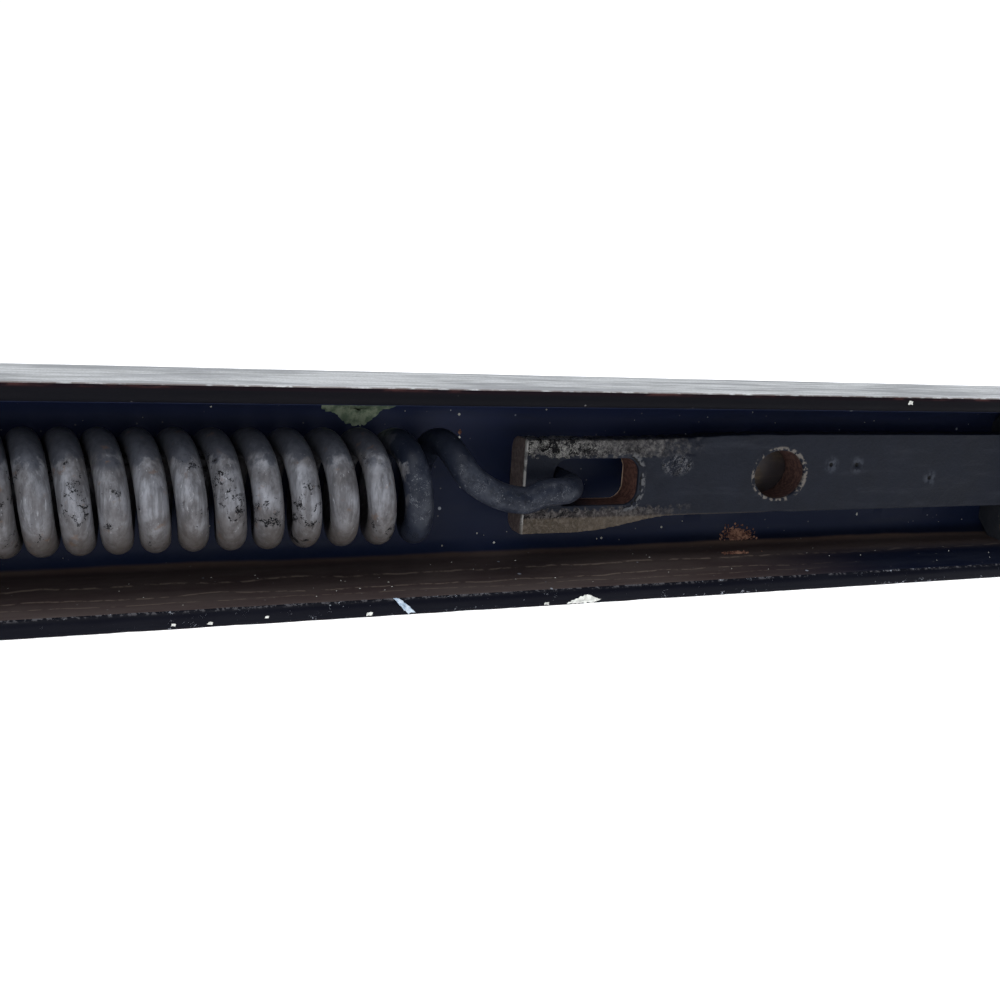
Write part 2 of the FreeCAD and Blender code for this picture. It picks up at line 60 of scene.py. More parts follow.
VIEW_DROP = math.radians(11.73)
VIEW_ROLL = math.radians(3.75)
LENS_SHARE = 1.15

view = bpy.data.cameras.new("view")
view.sensor_width = 36.0
view.lens = 36.0 * LENS_SHARE
view.clip_start = 0.01
camera = bpy.data.objects.new("view", view)
bpy.context.collection.objects.link(camera)
aim = Matrix.Rotation(-VIEW_TURN, 4, "Z") @ Matrix.Rotation(math.pi / 2 - VIEW_DROP, 4, "X")
camera.matrix_world = Matrix.Translation(EYE) @ aim @ Matrix.Rotation(VIEW_ROLL, 4, "Z")
bpy.context.scene.camera = camera
bpy.context.scene.view_settings.view_transform = "Standard"

# ---------------------------------------------------------------------------
# Floor and light. A pale seamless floor under the face plate, a broad soft light
# overhead and two weaker ones in front, as under an open sky.
# ---------------------------------------------------------------------------
FLOOR_DROP = 0.4 * MM


def tone(red, green, blue):
    """A screen colour, 0 to 255 a channel, as the light values that shaders use."""
    shares = (red / 255, green / 255, blue / 255)
    return tuple(c / 12.92 if c <= 0.04 else ((c + 0.055) / 1.055) ** 2.4 for c in shares)


def put(tree, kind, values=None, **settings):
    """Add a node, give its sockets values or links, and return it."""
    node = tree.nodes.new("ShaderNode" + kind)
    for key, value in settings.items():
        setattr(node, key, value)
    for key, value in (values or {}).items():
        if isinstance(value, bpy.types.NodeSocket):
            tree.links.new(value, node.inputs[key])
        else:
            socket = node.inputs[key]
            if socket.type == "RGBA" and len(value) == 3:
                value = (*value, 1.0)
            socket.default_value = value
    return node


def new_mesh(name, points, faces, smooth=True):
    mesh = bpy.data.meshes.new(name)
    mesh.from_pydata([tuple(p) for p in points], [], faces)
    mesh.validate()
    mesh.polygons.foreach_set("use_smooth", [smooth] * len(mesh.polygons))
    piece = bpy.data.objects.new(name, mesh)
    bpy.context.collection.objects.link(piece)
    return piece


floor_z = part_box("face_plate")[0][2] - FLOOR_DROP
FLOOR_REACH = 6.0
sides = ((-1, -1), (1, -1), (1, 1), (-1, 1))
floor_corners = [(x * FLOOR_REACH, y * FLOOR_REACH, floor_z) for x, y in sides]
floor = new_mesh("floor", floor_corners, [(0, 1, 2, 3)], False)
floor_paint = bpy.data.materials.new("pale_floor")
floor_paint.use_nodes = True
floor_shader = floor_paint.node_tree.nodes["Principled BSDF"]
floor_shader.inputs["Base Color"].default_value = (0.9, 0.9, 0.9, 1)
floor_shader.inputs["Roughness"].default_value = 0.9
floor_shader.inputs["Specular IOR Level"].default_value = 0.1
floor_shader.inputs["Emission Color"].default_value = (1, 1, 1, 1)
floor_shader.inputs["Emission Strength"].default_value = 0.6
floor.data.materials.append(floor_paint)

world = bpy.data.worlds.new("sky")
bpy.context.scene.world = world
world.use_nodes = True
sky = world.node_tree
sky.nodes.clear()
rays = put(sky, "LightPath")
seen = put(sky, "Background", {"Color": (1, 1, 1), "Strength": 1.05})
cast = put(sky, "Background", {"Color": (0.80, 0.88, 1.0), "Strength": 0.26})
either = put(sky, "MixShader", {0: rays.outputs["Is Camera Ray"], 1: cast.outputs[0], 2: seen.outputs[0]})
put(sky, "OutputWorld", {"Surface": either.outputs[0]})


def soft_light(name, place, target, width, height, power, colour=(1, 1, 1)):
    lamp = bpy.data.lights.new(name, "AREA")
    lamp.shape = "RECTANGLE"
    lamp.size = width
    lamp.size_y = height
    lamp.energy = power
    lamp.color = colour
    light = bpy.data.objects.new(name, lamp)
    bpy.context.collection.objects.link(light)
    light.location = place
    light.rotation_euler = (Vector(target) - Vector(place)).to_track_quat("-Z", "Y").to_euler()


sun = bpy.data.lights.new("overcast", "SUN")
sun.energy = 2.6
sun.angle = math.radians(70)
sun.color = (0.97, 0.985, 1.0)
overcast = bpy.data.objects.new("overcast", sun)
bpy.context.collection.objects.link(overcast)
overcast.rotation_euler = (math.radians(4), math.radians(-8), 0)
soft_light("front_left", (-0.75, -1.1, 0.42), (-0.02, 0, 0), 0.5, 0.9, 5.0, (0.95, 0.98, 1.0))
soft_light("front_low", (0.25, -1.2, -0.02), (0.05, 0, 0), 1.4, 0.25, 0.7, (1.0, 0.93, 0.84))

# ---------------------------------------------------------------------------
# Trough. A hot-rolled steel channel with sloping flanges, painted blue-black. Its
# outer faces have gone chalky, dust has settled on the lower flange, and the front
# lips are chipped. It is drawn from its rolled section, then drilled for the screws.
# ---------------------------------------------------------------------------
WEB = 5.5 * MM
FLANGE_TIP = 5.0 * MM
FLANGE_SLOPE = 0.08
ROOT_RADIUS = 6.0 * MM
TOE_RADIUS = 2.5 * MM
OUTER_RADIUS = 0.7 * MM

low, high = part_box("channel")
TROUGH_LEFT, TROUGH_RIGHT = low[0], high[0]
TROUGH_FRONT = low[1]
HALF = high[2]


def flange_gap(y):
    """Half the clear height between the flanges at depth y."""
    return HALF - FLANGE_TIP - FLANGE_SLOPE * (y - TROUGH_FRONT)


def rounded(corners, steps=7):
    """A closed outline of (y, z, radius) corners with each corner turned into an arc."""
    outline = []
    count = len(corners)
    for i, (y, z, radius) in enumerate(corners):
        here = Vector((y, z))
        back = (Vector(corners[i - 1][:2]) - here).normalized()
        ahead = (Vector(corners[(i + 1) % count][:2]) - here).normalized()
        half_turn = back.angle(ahead) / 2
        run = radius / math.tan(half_turn)
        centre = here + (back + ahead).normalized() * (radius / math.sin(half_turn))
        first = here + back * run - centre
        last = here + ahead * run - centre
        for s in range(steps + 1):
            arm = first.lerp(last, s / steps).normalized() * radius
            outline.append(centre + arm)
    return outline


def trough_section():
    tip, root = flange_gap(TROUGH_FRONT), flange_gap(-WEB)
    upper = [
        (0.0, HALF, OUTER_RADIUS),
        (TROUGH_FRONT, HALF, OUTER_RADIUS),
        (TROUGH_FRONT, tip, TOE_RADIUS),
        (-WEB, root, ROOT_RADIUS),
    ]
    lower = [(y, -z, r) for y, z, r in reversed(upper)]
    return rounded(upper + lower)


def loft_x(name, outline, places, shift=None):
    """Skin an outline of (y, z) points along X, closing both ends."""
    points, faces = [], []
    count = len(outline)
    for x in places:
        for y, z in outline:
            point = Vector((x, y, z))
            points.append(point + shift(point) if shift else point)
    for i in range(len(places) - 1):
        for j in range(count):
            k = (j + 1) % count
            faces.append((i * count + j, i * count + k, (i + 1) * count + k, (i + 1) * count + j))
    faces.append(tuple(range(count))[::-1])
    faces.append(tuple((len(places) - 1) * count + j for j in range(count)))
    return new_mesh(name, points, faces)


def lip_dents(point):
    """Small knocks along the front lips, inwards only."""
    if point.y > TROUGH_FRONT + TOE_RADIUS or abs(point.z) < HALF - FLANGE_TIP:
        return Vector((0, 0, 0))
    knock = noise.noise(point * 70) + 0.6 * noise.noise(point * 190)
    depth = max(0.0, knock - 0.18) * 0.55 * MM
    return Vector((0, depth, -math.copysign(depth * 0.25, point.z)))


def drill(piece, cutters):
    """Take each cutter (a cylinder or cone along Y) out of a piece."""
    for radius, wide, x, z, y0, y1 in cutters:
        middle = (x, (y0 + y1) / 2, z)
        turned = (-math.pi / 2, 0, 0)
        bpy.ops.mesh.primitive_cone_add(
            vertices=40, radius1=radius, radius2=wide, depth=y1 - y0, rotation=turned, location=middle
        )
        tool = bpy.context.object
        cut = piece.modifiers.new("drill", "BOOLEAN")
        cut.object = tool
        cut.operation = "DIFFERENCE"
        cut.solver = "EXACT"
        bpy.context.view_layer.objects.active = piece
        bpy.ops.object.modifier_apply(modifier=cut.name)
        bpy.data.objects.remove(tool)


STATION = 4.0 * MM
stations = np.linspace(TROUGH_LEFT, TROUGH_RIGHT, int((TROUGH_RIGHT - TROUGH_LEFT) / STATION) + 1)
trough = loft_x("trough", trough_section(), stations, lip_dents)
holes = []
for number in range(1, 5):
    a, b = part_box("pad_screw_%d" % number)
    x, z, head = (a[0] + b[0]) / 2, (a[2] + b[2]) / 2, (b[0] - a[0]) / 2 + 0.08 * MM
    stem = head / 2
    holes.append((stem, stem, x, z, -WEB - MM, MM))
    holes.append((stem, head + 0.1 * MM, x, z, stem - head, 0.1 * MM))
for name in ("top", "bottom"):
    a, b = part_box("guide_screw_" + name)
    holes.append((2.52 * MM, 2.52 * MM, (a[0] + b[0]) / 2, (a[2] + b[2]) / 2, -WEB - ROOT_RADIUS, MM))
drill(trough, holes)


# Mask groups and short sums that the trough's finishes and the others share.
def shader_group(name, inputs, outputs):
    group = bpy.data.node_groups.new(name, "ShaderNodeTree")
    for label, kind, default in inputs:
        socket = group.interface.new_socket(label, in_out="INPUT", socket_type="NodeSocket" + kind)
        if default is not None:
            socket.default_value = default
    for label, kind in outputs:
        group.interface.new_socket(label, in_out="OUTPUT", socket_type="NodeSocket" + kind)
    return group, group.nodes.new("NodeGroupInput").outputs, group.nodes.new("NodeGroupOutput")


def calc(tree, operation, a, b=0.0, c=0.0):
    return put(tree, "Math", {0: a, 1: b, 2: c}, operation=operation).outputs[0]


def times(tree, first, *others):
    for other in others:
        first = calc(tree, "MULTIPLY", first, other)
    return first


def plus(tree, first, *others):
    for other in others:
        first = calc(tree, "ADD", first, other)
    return first


def minus(tree, a, b):
    return calc(tree, "SUBTRACT", a, b)


def distance(tree, along, up):
    return calc(tree, "SQRT", plus(tree, times(tree, along, along), times(tree, up, up)))


def step(tree, value, start, end, low_value=0.0, high_value=1.0):
    """Smooth step of a value from low_value at start to high_value at end."""
    sockets = {"Value": value, "From Min": start, "From Max": end, "To Min": low_value, "To Max": high_value}
    return put(tree, "MapRange", sockets, interpolation_type="SMOOTHSTEP").outputs[0]


def mix(tree, factor, a, b):
    node = put(tree, "Mix", {}, data_type="RGBA")
    for socket, value in ((node.inputs[0], factor), (node.inputs[6], a), (node.inputs[7], b)):
        if isinstance(value, bpy.types.NodeSocket):
            tree.links.new(value, socket)
        elif socket.type == "RGBA":
            socket.default_value = (*value[:3], 1.0)
        else:
            socket.default_value = value
    return node.outputs[2]


def noise_of(tree, place, scale, detail, roughness):
    values = {"Vector": place, "Scale": scale, "Detail": detail, "Roughness": roughness}
    return put(tree, "TexNoise", values)


def make_blotches():
    """Soft-edged patches: none where the noise is below Low, full where it is above High."""
    inputs = [("Vector", "Vector", None), ("Scale", "Float", 50.0), ("Low", "Float", 0.45)]
    inputs += [("High", "Float", 0.6), ("Detail", "Float", 5.0)]
    group, given, out = shader_group("blotches", inputs, [("Mask", "Float")])
    grain = noise_of(group, given["Vector"], given["Scale"], given["Detail"], 0.62).outputs["Fac"]
    mask = step(group, grain, given["Low"], given["High"])
    group.links.new(mask, out.inputs["Mask"])
    return group


def make_flakes():
    """Sharp, ragged paint chips: a mask of where paint is gone."""
    inputs = [("Vector", "Vector", None), ("Scale", "Float", 200.0), ("Gone", "Float", 0.4)]
    group, given, out = shader_group("flakes", inputs, [("Mask", "Float"), ("Rim", "Float")])
    warp = noise_of(group, given["Vector"], given["Scale"], 4.0, 0.7)
    bend = put(group, "VectorMath", {0: warp.outputs["Color"], "Scale": 0.012}, operation="SCALE")
    moved = put(group, "VectorMath", {0: given["Vector"], 1: bend.outputs[0]}, operation="ADD")
    cells = noise_of(group, moved.outputs[0], given["Scale"], 6.0, 0.6)
    edge = plus(group, given["Gone"], 0.025)
    wide = plus(group, given["Gone"], 0.075)
    gone = step(group, cells.outputs["Fac"], edge, given["Gone"])
    rim = minus(group, step(group, cells.outputs["Fac"], wide, edge), gone)
    group.links.new(gone, out.inputs["Mask"])
    group.links.new(rim, out.inputs["Rim"])
    return group


def make_streaks():
    """Lines drawn out along one direction, set by Stretch."""
    inputs = [("Vector", "Vector", None), ("Stretch", "Vector", (1, 1, 1)), ("Scale", "Float", 60.0)]
    inputs += [("Low", "Float", 0.4), ("High", "Float", 0.65)]
    group, given, out = shader_group("streaks", inputs, [("Mask", "Float")])
    drawn = put(group, "VectorMath", {0: given["Vector"], 1: given["Stretch"]}, operation="MULTIPLY")
    grain = noise_of(group, drawn.outputs[0], given["Scale"], 6.0, 0.65).outputs["Fac"]
    group.links.new(step(group, grain, given["Low"], given["High"]), out.inputs["Mask"])
    return group


def make_specks():
    """Sparse round grit: Size is the share of each cell that a speck fills."""
    inputs = [("Vector", "Vector", None), ("Scale", "Float", 200.0)]
    inputs += [("Size", "Float", 0.12), ("Share", "Float", 0.2)]
    group, given, out = shader_group("specks", inputs, [("Mask", "Float")])
    cells = put(group, "TexVoronoi", {"Vector": given["Vector"], "Scale": given["Scale"]})
    chosen = put(group, "TexWhiteNoise", {"Vector": cells.outputs["Position"]})
    kept = calc(group, "LESS_THAN", chosen.outputs["Value"], given["Share"])
    inside = step(group, cells.outputs["Distance"], given["Size"], times(group, given["Size"], 0.6))
    group.links.new(times(group, kept, inside), out.inputs["Mask"])
    return group


BLOTCHES = make_blotches()
FLAKES = make_flakes()
STREAKS = make_streaks()
SPECKS = make_specks()


def use(tree, group, values, output="Mask"):
    node = tree.nodes.new("ShaderNodeGroup")
    node.node_tree = group
    for key, value in values.items():
        if isinstance(value, bpy.types.NodeSocket):
            tree.links.new(value, node.inputs[key])
        else:
            node.inputs[key].default_value = value
    return node.outputs[output]


class Finish:
    """One material: its tree, its shader and the place sockets that its masks read."""

    def __init__(self, name, **constants):
        self.material = bpy.data.materials.new(name)
        self.material.use_nodes = True
        self.tree = self.material.node_tree
        self.shader = self.tree.nodes["Principled BSDF"]
        for key, value in constants.items():
            self.shader.inputs[key.replace("_", " ")].default_value = value
        self.place = put(self.tree, "TexCoord").outputs["Object"]
        parts = put(self.tree, "SeparateXYZ", {0: self.place})
        self.x, self.y, self.z = parts.outputs

    def blotches(self, scale, low=0.45, high=0.6, detail=5.0):
        values = {"Vector": self.place, "Scale": scale, "Low": low, "High": high, "Detail": detail}
        return use(self.tree, BLOTCHES, values)

    def streaks(self, stretch, scale, low, high):
        values = {"Vector": self.place, "Stretch": stretch, "Scale": scale, "Low": low, "High": high}
        return use(self.tree, STREAKS, values)

    def specks(self, scale, size, share):
        return use(self.tree, SPECKS, {"Vector": self.place, "Scale": scale, "Size": size, "Share": share})

    def flakes(self, scale, gone, output="Mask"):
        return use(self.tree, FLAKES, {"Vector": self.place, "Scale": scale, "Gone": gone}, output)

    def lay(self, colour=None, roughness=None, metallic=None, height=None, bump_mm=0.05):
        if colour is not None:
            self.tree.links.new(colour, self.shader.inputs["Base Color"])
        if roughness is not None:
            self.tree.links.new(roughness, self.shader.inputs["Roughness"])
        if metallic is not None:
            self.tree.links.new(metallic, self.shader.inputs["Metallic"])
        if height is not None:
            bump = put(self.tree, "Bump", {"Height": height, "Distance": bump_mm * MM, "Strength": 1.0})
            self.tree.links.new(bump.outputs["Normal"], self.shader.inputs["Normal"])
        return self.material


def chalky_paint():
    """Outer faces: dark paint weathered to a streaked pale grey."""
    f = Finish("chalky_outer_paint", Specular_IOR_Level=0.25)
    t = f.tree
    long = f.streaks((0.12, 1.0, 1.0), 420.0, 0.40, 0.68)
    broad = f.streaks((0.22, 1.0, 1.0), 90.0, 0.44, 0.62)
    fine = f.blotches(1500.0, 0.46, 0.62, 3.0)
    pale = mix(t, broad, tone(208, 209, 210), tone(164, 165, 168))
    pale = mix(t, times(t, long, 0.55), pale, tone(120, 122, 122))
    pale = mix(t, times(t, fine, 0.35), pale, tone(140, 138, 132))
    edge = step(t, f.y, TROUGH_FRONT + 1.6 * MM, TROUGH_FRONT + 0.1 * MM)
    ragged = f.blotches(260.0, 0.36, 0.52)
    pale = mix(t, times(t, edge, times(t, ragged, 0.8)), pale, tone(86, 70, 66))
    rough = step(t, long, 0.0, 1.0, 0.62, 0.85)
    return f.lay(pale, rough, None, plus(t, long, fine), 0.03)


def inside_paint():
    """Web and flange insides: blue-black paint, with brown dust lying on the lower flange."""
    f = Finish("blue_black_inside", Specular_IOR_Level=0.12)
    t = f.tree
    mottle = f.blotches(38.0, 0.35, 0.7)
    paint = mix(t, mottle, tone(20, 28, 52), tone(25, 32, 54))
    # faded a little toward the top of the web; painted shade darkens the low part of the web under the bar
    # on the right
    paint = mix(t, step(t, f.z, 8 * MM, 20 * MM), paint, tone(31, 38, 64))
    low_right_shade = times(t, step(t, f.z, -20 * MM, -23 * MM), step(t, f.x, 30 * MM, 110 * MM))
    paint = mix(t, times(t, low_right_shade, 0.7), paint, tone(8, 10, 22))
    haze = f.streaks((0.15, 1.0, 1.0), 160.0, 0.46, 0.72)
    paint = mix(t, times(t, haze, 0.35), paint, tone(36, 40, 50))
    grit = f.specks(230.0, 0.16, 0.035)
    fine_grit = f.specks(620.0, 0.22, 0.05)
    # brown dust from the foot of the fillet forwards
    wander = put(t, "TexNoise", {"Vector": f.place, "Scale": 22.0, "Detail": 5.0}).outputs["Fac"]
    foot = plus(t, f.z, times(t, minus(t, wander, 0.5), 2.2 * MM))
    dusty = step(t, foot, -23.4 * MM, -24.3 * MM)
    # the dust thins out at the front to the right, leaving it only toward the fillet, where the warm strip
    # below paints a golden sheen
    right_end = step(t, f.x, 85 * MM, 170 * MM)
    ahead = step(t, f.y, -14 * MM, -26 * MM)
    thin = minus(t, 1.0, times(t, right_end, ahead))
    cloud = f.streaks((0.2, 1.0, 1.0), 120.0, 0.3, 0.7)
    dust_and_sheen = mix(t, cloud, tone(62, 50, 48), tone(78, 68, 64))
    # warmer toward the fillet: partly dust, partly a painted golden sheen where the fillet catches the light
    back_strip = step(t, f.y, -11 * MM, -7 * MM)
    dust_and_sheen = mix(t, times(t, back_strip, 0.5), dust_and_sheen, tone(86, 66, 52))
    # broken tide lines of pale dust that run along the flange
    broken = f.blotches(260.0, 0.42, 0.56)
    tide_lines = ((-21.5, 5.0, 0.9, 0.7, 0.3), (-31.0, 4.0, 0.6, 0.6, 0.9), (-35.5, 2.5, 0.4, 0.4, 1.7))
    for depth, sway, width, strength, seed in tide_lines:
        along = put(t, "CombineXYZ", {0: f.x, 1: seed, 2: 0.0}).outputs[0]
        bends = noise_of(t, along, 34.0, 4.0, 0.55).outputs["Fac"]
        line_y = plus(t, depth * MM, times(t, minus(t, bends, 0.5), sway * 2 * MM))
        off = calc(t, "ABSOLUTE", minus(t, f.y, line_y))
        line = step(t, off, width * MM, width * 0.3 * MM)
        dust_and_sheen = mix(t, times(t, line, broken, strength), dust_and_sheen, tone(132, 118, 106))
    cover = times(t, dusty, thin, 0.9)
    colour = mix(t, cover, paint, dust_and_sheen)
    colour = mix(t, grit, colour, tone(150, 155, 165))
    colour = mix(t, times(t, fine_grit, 0.5), colour, tone(110, 108, 108))
    rough = plus(t, times(t, cover, 0.3), step(t, mottle, 0.0, 1.0, 0.42, 0.56))
    height = plus(t, times(t, mottle, 0.5), plus(t, times(t, cover, cloud), grit))
    return f.lay(colour, rough, None, height, 0.06)


def upper_lip_paint():
    """Front edge of the upper flange: grey-brown grime over the paint, rust along its top."""
    f = Finish("upper_lip_grime", Specular_IOR_Level=0.05)
    t = f.tree
    long = f.streaks((0.1, 1.0, 1.0), 300.0, 0.35, 0.7)
    colour = mix(t, long, tone(11, 11, 16), tone(18, 17, 21))
    top = step(t, f.z, HALF - 1.7 * MM, HALF - 0.9 * MM)
    colour = mix(t, top, colour, tone(20, 12, 18))
    rust = f.streaks((0.25, 1.0, 1.0), 160.0, 0.5, 0.6)
    red = times(t, rust, step(t, f.z, HALF - 1.3 * MM, HALF - 0.5 * MM))
    colour = mix(t, times(t, red, 0.6), colour, tone(74, 46, 44))
    grit = f.specks(420.0, 0.2, 0.05)
    colour = mix(t, times(t, grit, 0.6), colour, tone(120, 118, 118))
    return f.lay(colour, step(t, long, 0.0, 1.0, 0.55, 0.75), None, plus(t, long, grit), 0.04)


def lower_lip_paint():
    """Front edge of the lower flange: blue-black paint with small chips down to pale primer."""
    f = Finish("lower_lip_chipped", Specular_IOR_Level=0.06)
    t = f.tree
    long = f.streaks((0.12, 1.0, 1.0), 220.0, 0.35, 0.7)
    paint = mix(t, long, tone(10, 11, 20), tone(16, 17, 25))
    low_edge = step(t, f.z, -HALF + 2.3 * MM, -HALF + 0.6 * MM)
    high_edge = step(t, f.z, -HALF + 4.2 * MM, -HALF + 4.9 * MM)
    near_edge = calc(t, "MAXIMUM", low_edge, high_edge)
    tide = f.blotches(14.0, 0.40, 0.62, 2.0)
    gone = plus(t, 0.29, times(t, near_edge, tide, 0.10))
    chips = f.flakes(420.0, gone)
    primer = mix(t, f.blotches(700.0), tone(196, 202, 214), tone(128, 130, 138))
    colour = mix(t, chips, paint, primer)
    # grey line along the lip's top arris: partly worn paint, partly a painted highlight where the edge
    # catches the light
    worn_edge_and_highlight = times(t, high_edge, f.blotches(800.0, 0.5, 0.6))
    colour = mix(t, times(t, worn_edge_and_highlight, 0.6), colour, tone(108, 106, 110))
    height = minus(t, times(t, long, 0.3), chips)
    return f.lay(colour, step(t, chips, 0.0, 1.0, 0.45, 0.8), None, height, 0.08)


def paint_trough(piece):
    for finish in (inside_paint(), chalky_paint(), upper_lip_paint(), lower_lip_paint()):
        piece.data.materials.append(finish)
    inner, outer, upper_lip, lower_lip = range(4)
    for face in piece.data.polygons:
        c, n = face.center, face.normal
        on_flange = abs(n.z) > 0.6 and abs(c.z) > HALF - 0.4 * MM
        on_back = n.y > 0.6 and c.y > -0.4 * MM
        if on_flange or on_back or abs(n.x) > 0.9:
            face.material_index = outer
        elif c.y < TROUGH_FRONT + 0.62 * TOE_RADIUS and n.y < -0.3:
            face.material_index = upper_lip if c.z > 0 else lower_lip
        else:
            face.material_index = inner


paint_trough(trough)
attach(trough, "housing")
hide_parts("channel")

# ---------------------------------------------------------------------------
# Extension spring. Oil-tempered wire, 8.3 mm thick, wound right-handed, with the
# last coil at each end drawn out into a hook. The coils are rubbed down to dull
# grey steel with black pits; the end coil and the hook still carry their paint.
# ---------------------------------------------------------------------------
WIRE = 4.15 * MM
WIRE_LOSS = 0.06 * MM
COIL = 13.0 * MM
TURNS = 19
OPEN_PITCH = 11.2 * MM
CLOSE_PITCH = 9.0 * MM
PITCH_STEP = 0.2 * MM
HOOK_TURN = math.radians(56)
COIL_REACH = 2.5 * MM
COIL_REACH_SHARE = 0.6
HOOK_LEAD = 3.0 * MM
HOOK_SLOPE = 0.433
HOOK_LEG = 22.5 * MM
HOOK_SAG = 2.4 * MM
HOOK_SET_IN = 0.33 * MM
HOOK_TIP_FROM_END = 14.65 * MM
HOOK_REACH = 41.15 * MM
RETURN_LEG = 6.0 * MM
EYE_THICKNESS = 11.0 * MM

washer_low, washer_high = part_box("anchor_washer")
SPRING_Y = (washer_low[1] + washer_high[1]) / 2
AXIS_Z = (washer_low[2] + washer_high[2]) / 2
bar_low, bar_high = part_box("draw_bar")
HOOK_TIP = bar_low[0] + HOOK_TIP_FROM_END
COIL_END = HOOK_TIP - HOOK_REACH
turn_pitches = [max(CLOSE_PITCH, OPEN_PITCH - PITCH_STEP * n) for n in range(TURNS)]
COIL_START = COIL_END - COIL_REACH - sum(turn_pitches)


def bezier(start, start_way, end, end_way, start_pull, end_pull, count):
    p1, p2 = start + start_way * start_pull, end - end_way * end_pull
    points = []
    for i in range(count):
        t = i / count
        u = 1 - t
        points.append(start * u**3 + p1 * (3 * u * u * t) + p2 * (3 * u * t * t) + end * t**3)
    return points


def quarter(centre, first, last, count):
    """Points of a quarter circle from centre + first to centre + last."""
    angles = [math.pi / 2 * i / count for i in range(count)]
    return [centre + first * math.cos(a) + last * math.sin(a) for a in angles]


def hook(x_coil, way, legs, faces, tip, pitch):
    """Points from a coil's top out along one leg, through the slot and back."""
    near_y, far_y = legs
    near_face, far_face = faces
    sign = 1 if near_y > SPRING_Y else -1
    arc = COIL * HOOK_TURN
    top = Vector((x_coil, SPRING_Y, AXIS_Z + COIL))
    top_way = Vector((way * pitch / (2 * math.pi), sign * COIL, 0)).normalized()
    side = Vector((x_coil + way * HOOK_LEAD, SPRING_Y, AXIS_Z))
    side += Vector((0, sign * math.sin(HOOK_TURN), math.cos(HOOK_TURN))) * COIL
    side_way = Vector((way * HOOK_SLOPE, sign * math.cos(HOOK_TURN), -math.sin(HOOK_TURN))).normalized()
    along = Vector((way, 0, 0))
    across = Vector((0, -sign, 0))
    leg = Vector((x_coil + way * HOOK_LEG, near_y, AXIS_Z - HOOK_SAG))
    near_radius, far_radius = abs(near_y - near_face), abs(far_y - far_face)
    near_turn = Vector((tip - way * near_radius, near_y, AXIS_Z))
    near_in, far_in = Vector((tip, near_face, AXIS_Z)), Vector((tip, far_face, AXIS_Z))
    far_turn = Vector((tip - way * far_radius, far_y, AXIS_Z))
    third = (near_turn - leg).length / 3
    points = bezier(top, top_way, side, side_way, arc / 3, arc / 3, 16)
    points += bezier(side, side_way, leg, along, HOOK_LEG * 0.28, HOOK_LEG * 0.33, 34)
    points += bezier(leg, along, near_turn, along, third, third, 12)
    near_middle = Vector((near_turn.x, near_face, AXIS_Z))
    far_middle = Vector((far_turn.x, far_face, AXIS_Z))
    points += quarter(near_middle, -across * near_radius, along * near_radius, 22)
    points += [near_in.lerp(far_in, i / 14) for i in range(14)]
    points += quarter(far_middle, along * far_radius, across * far_radius, 12)
    points += [far_turn - along * RETURN_LEG * i / 8 for i in range(9)]
    return points


def coil_points(per_turn):
    """Points along the coils; the last half turn is drawn out towards the hook."""
    points = []
    x = COIL_START
    for number, pitch in enumerate(reversed(turn_pitches)):
        for i in range(per_turn):
            angle = 2 * math.pi * i / per_turn
            y, z = SPRING_Y - COIL * math.sin(angle), AXIS_Z + COIL * math.cos(angle)
            beyond = 2 * i / per_turn - 1 if number == TURNS - 1 else 0.0
            late = min(1.0, max(0.0, beyond) / COIL_REACH_SHARE)
            reach = COIL_REACH * late * late * (3 - 2 * late)
            points.append(Vector((x + pitch * i / per_turn + reach, y, z)))
        x += pitch
    return points


def tube(name, path, radius_at, around):
    """Skin a path with rings that don't twist, closing both ends."""
    points, faces = [], []
    way = (path[1] - path[0]).normalized()
    side = way.orthogonal().normalized()
    for i, place in enumerate(path):
        ahead = path[min(i + 1, len(path) - 1)] - path[max(i - 1, 0)]
        side = (side - ahead.normalized() * side.dot(ahead.normalized())).normalized()
        other = ahead.normalized().cross(side)
        for j in range(around):
            angle = 2 * math.pi * j / around
            arm = side * math.cos(angle) + other * math.sin(angle)
            points.append(place + arm * radius_at(place + arm * WIRE))
    for i in range(len(path) - 1):
        for j in range(around):
            k = (j + 1) % around
            faces.append((i * around + j, i * around + k, (i + 1) * around + k, (i + 1) * around + j))
    last = (len(path) - 1) * around
    faces.append(tuple(range(around))[::-1])
    faces.append(tuple(last + j for j in range(around)))
    return new_mesh(name, points, faces)


def wire_radius(surface):
    """Wire thickness with rubbed hollows and small pits eaten into it."""
    worn_edge_and_highlight = noise.noise(surface * 60) * 0.10 * MM
    grain = noise.noise(surface * 420) * 0.035 * MM
    cluster = noise.noise(surface * 95 + Vector((3, 0, 0)))
    pit = noise.noise(surface * 520 + Vector((0, 7, 0))) + 0.5 * noise.noise(surface * 1000)
    depth = max(0.0, pit - 0.52) * max(0.0, cluster + 0.05) * 3.2 * MM
    return WIRE - WIRE_LOSS + worn_edge_and_highlight + grain - min(depth, 0.5 * MM)


PER_TURN = 92
AROUND = 36
front_leg, back_leg = SPRING_Y - COIL + HOOK_SET_IN, SPRING_Y + COIL - HOOK_SET_IN
behind_bar = (bar_high[1] - WEB) / 2
eye_faces = (SPRING_Y + EYE_THICKNESS / 2, SPRING_Y - EYE_THICKNESS / 2)
left_tip = COIL_START - HOOK_REACH
right_hook = hook(COIL_END, 1, (front_leg, behind_bar), (bar_low[1], bar_high[1]), HOOK_TIP, OPEN_PITCH)
left_hook = hook(COIL_START, -1, (back_leg, front_leg), eye_faces, left_tip, CLOSE_PITCH)
spring = tube("spring_wire", left_hook[:0:-1] + coil_points(PER_TURN) + right_hook, wire_radius, AROUND)


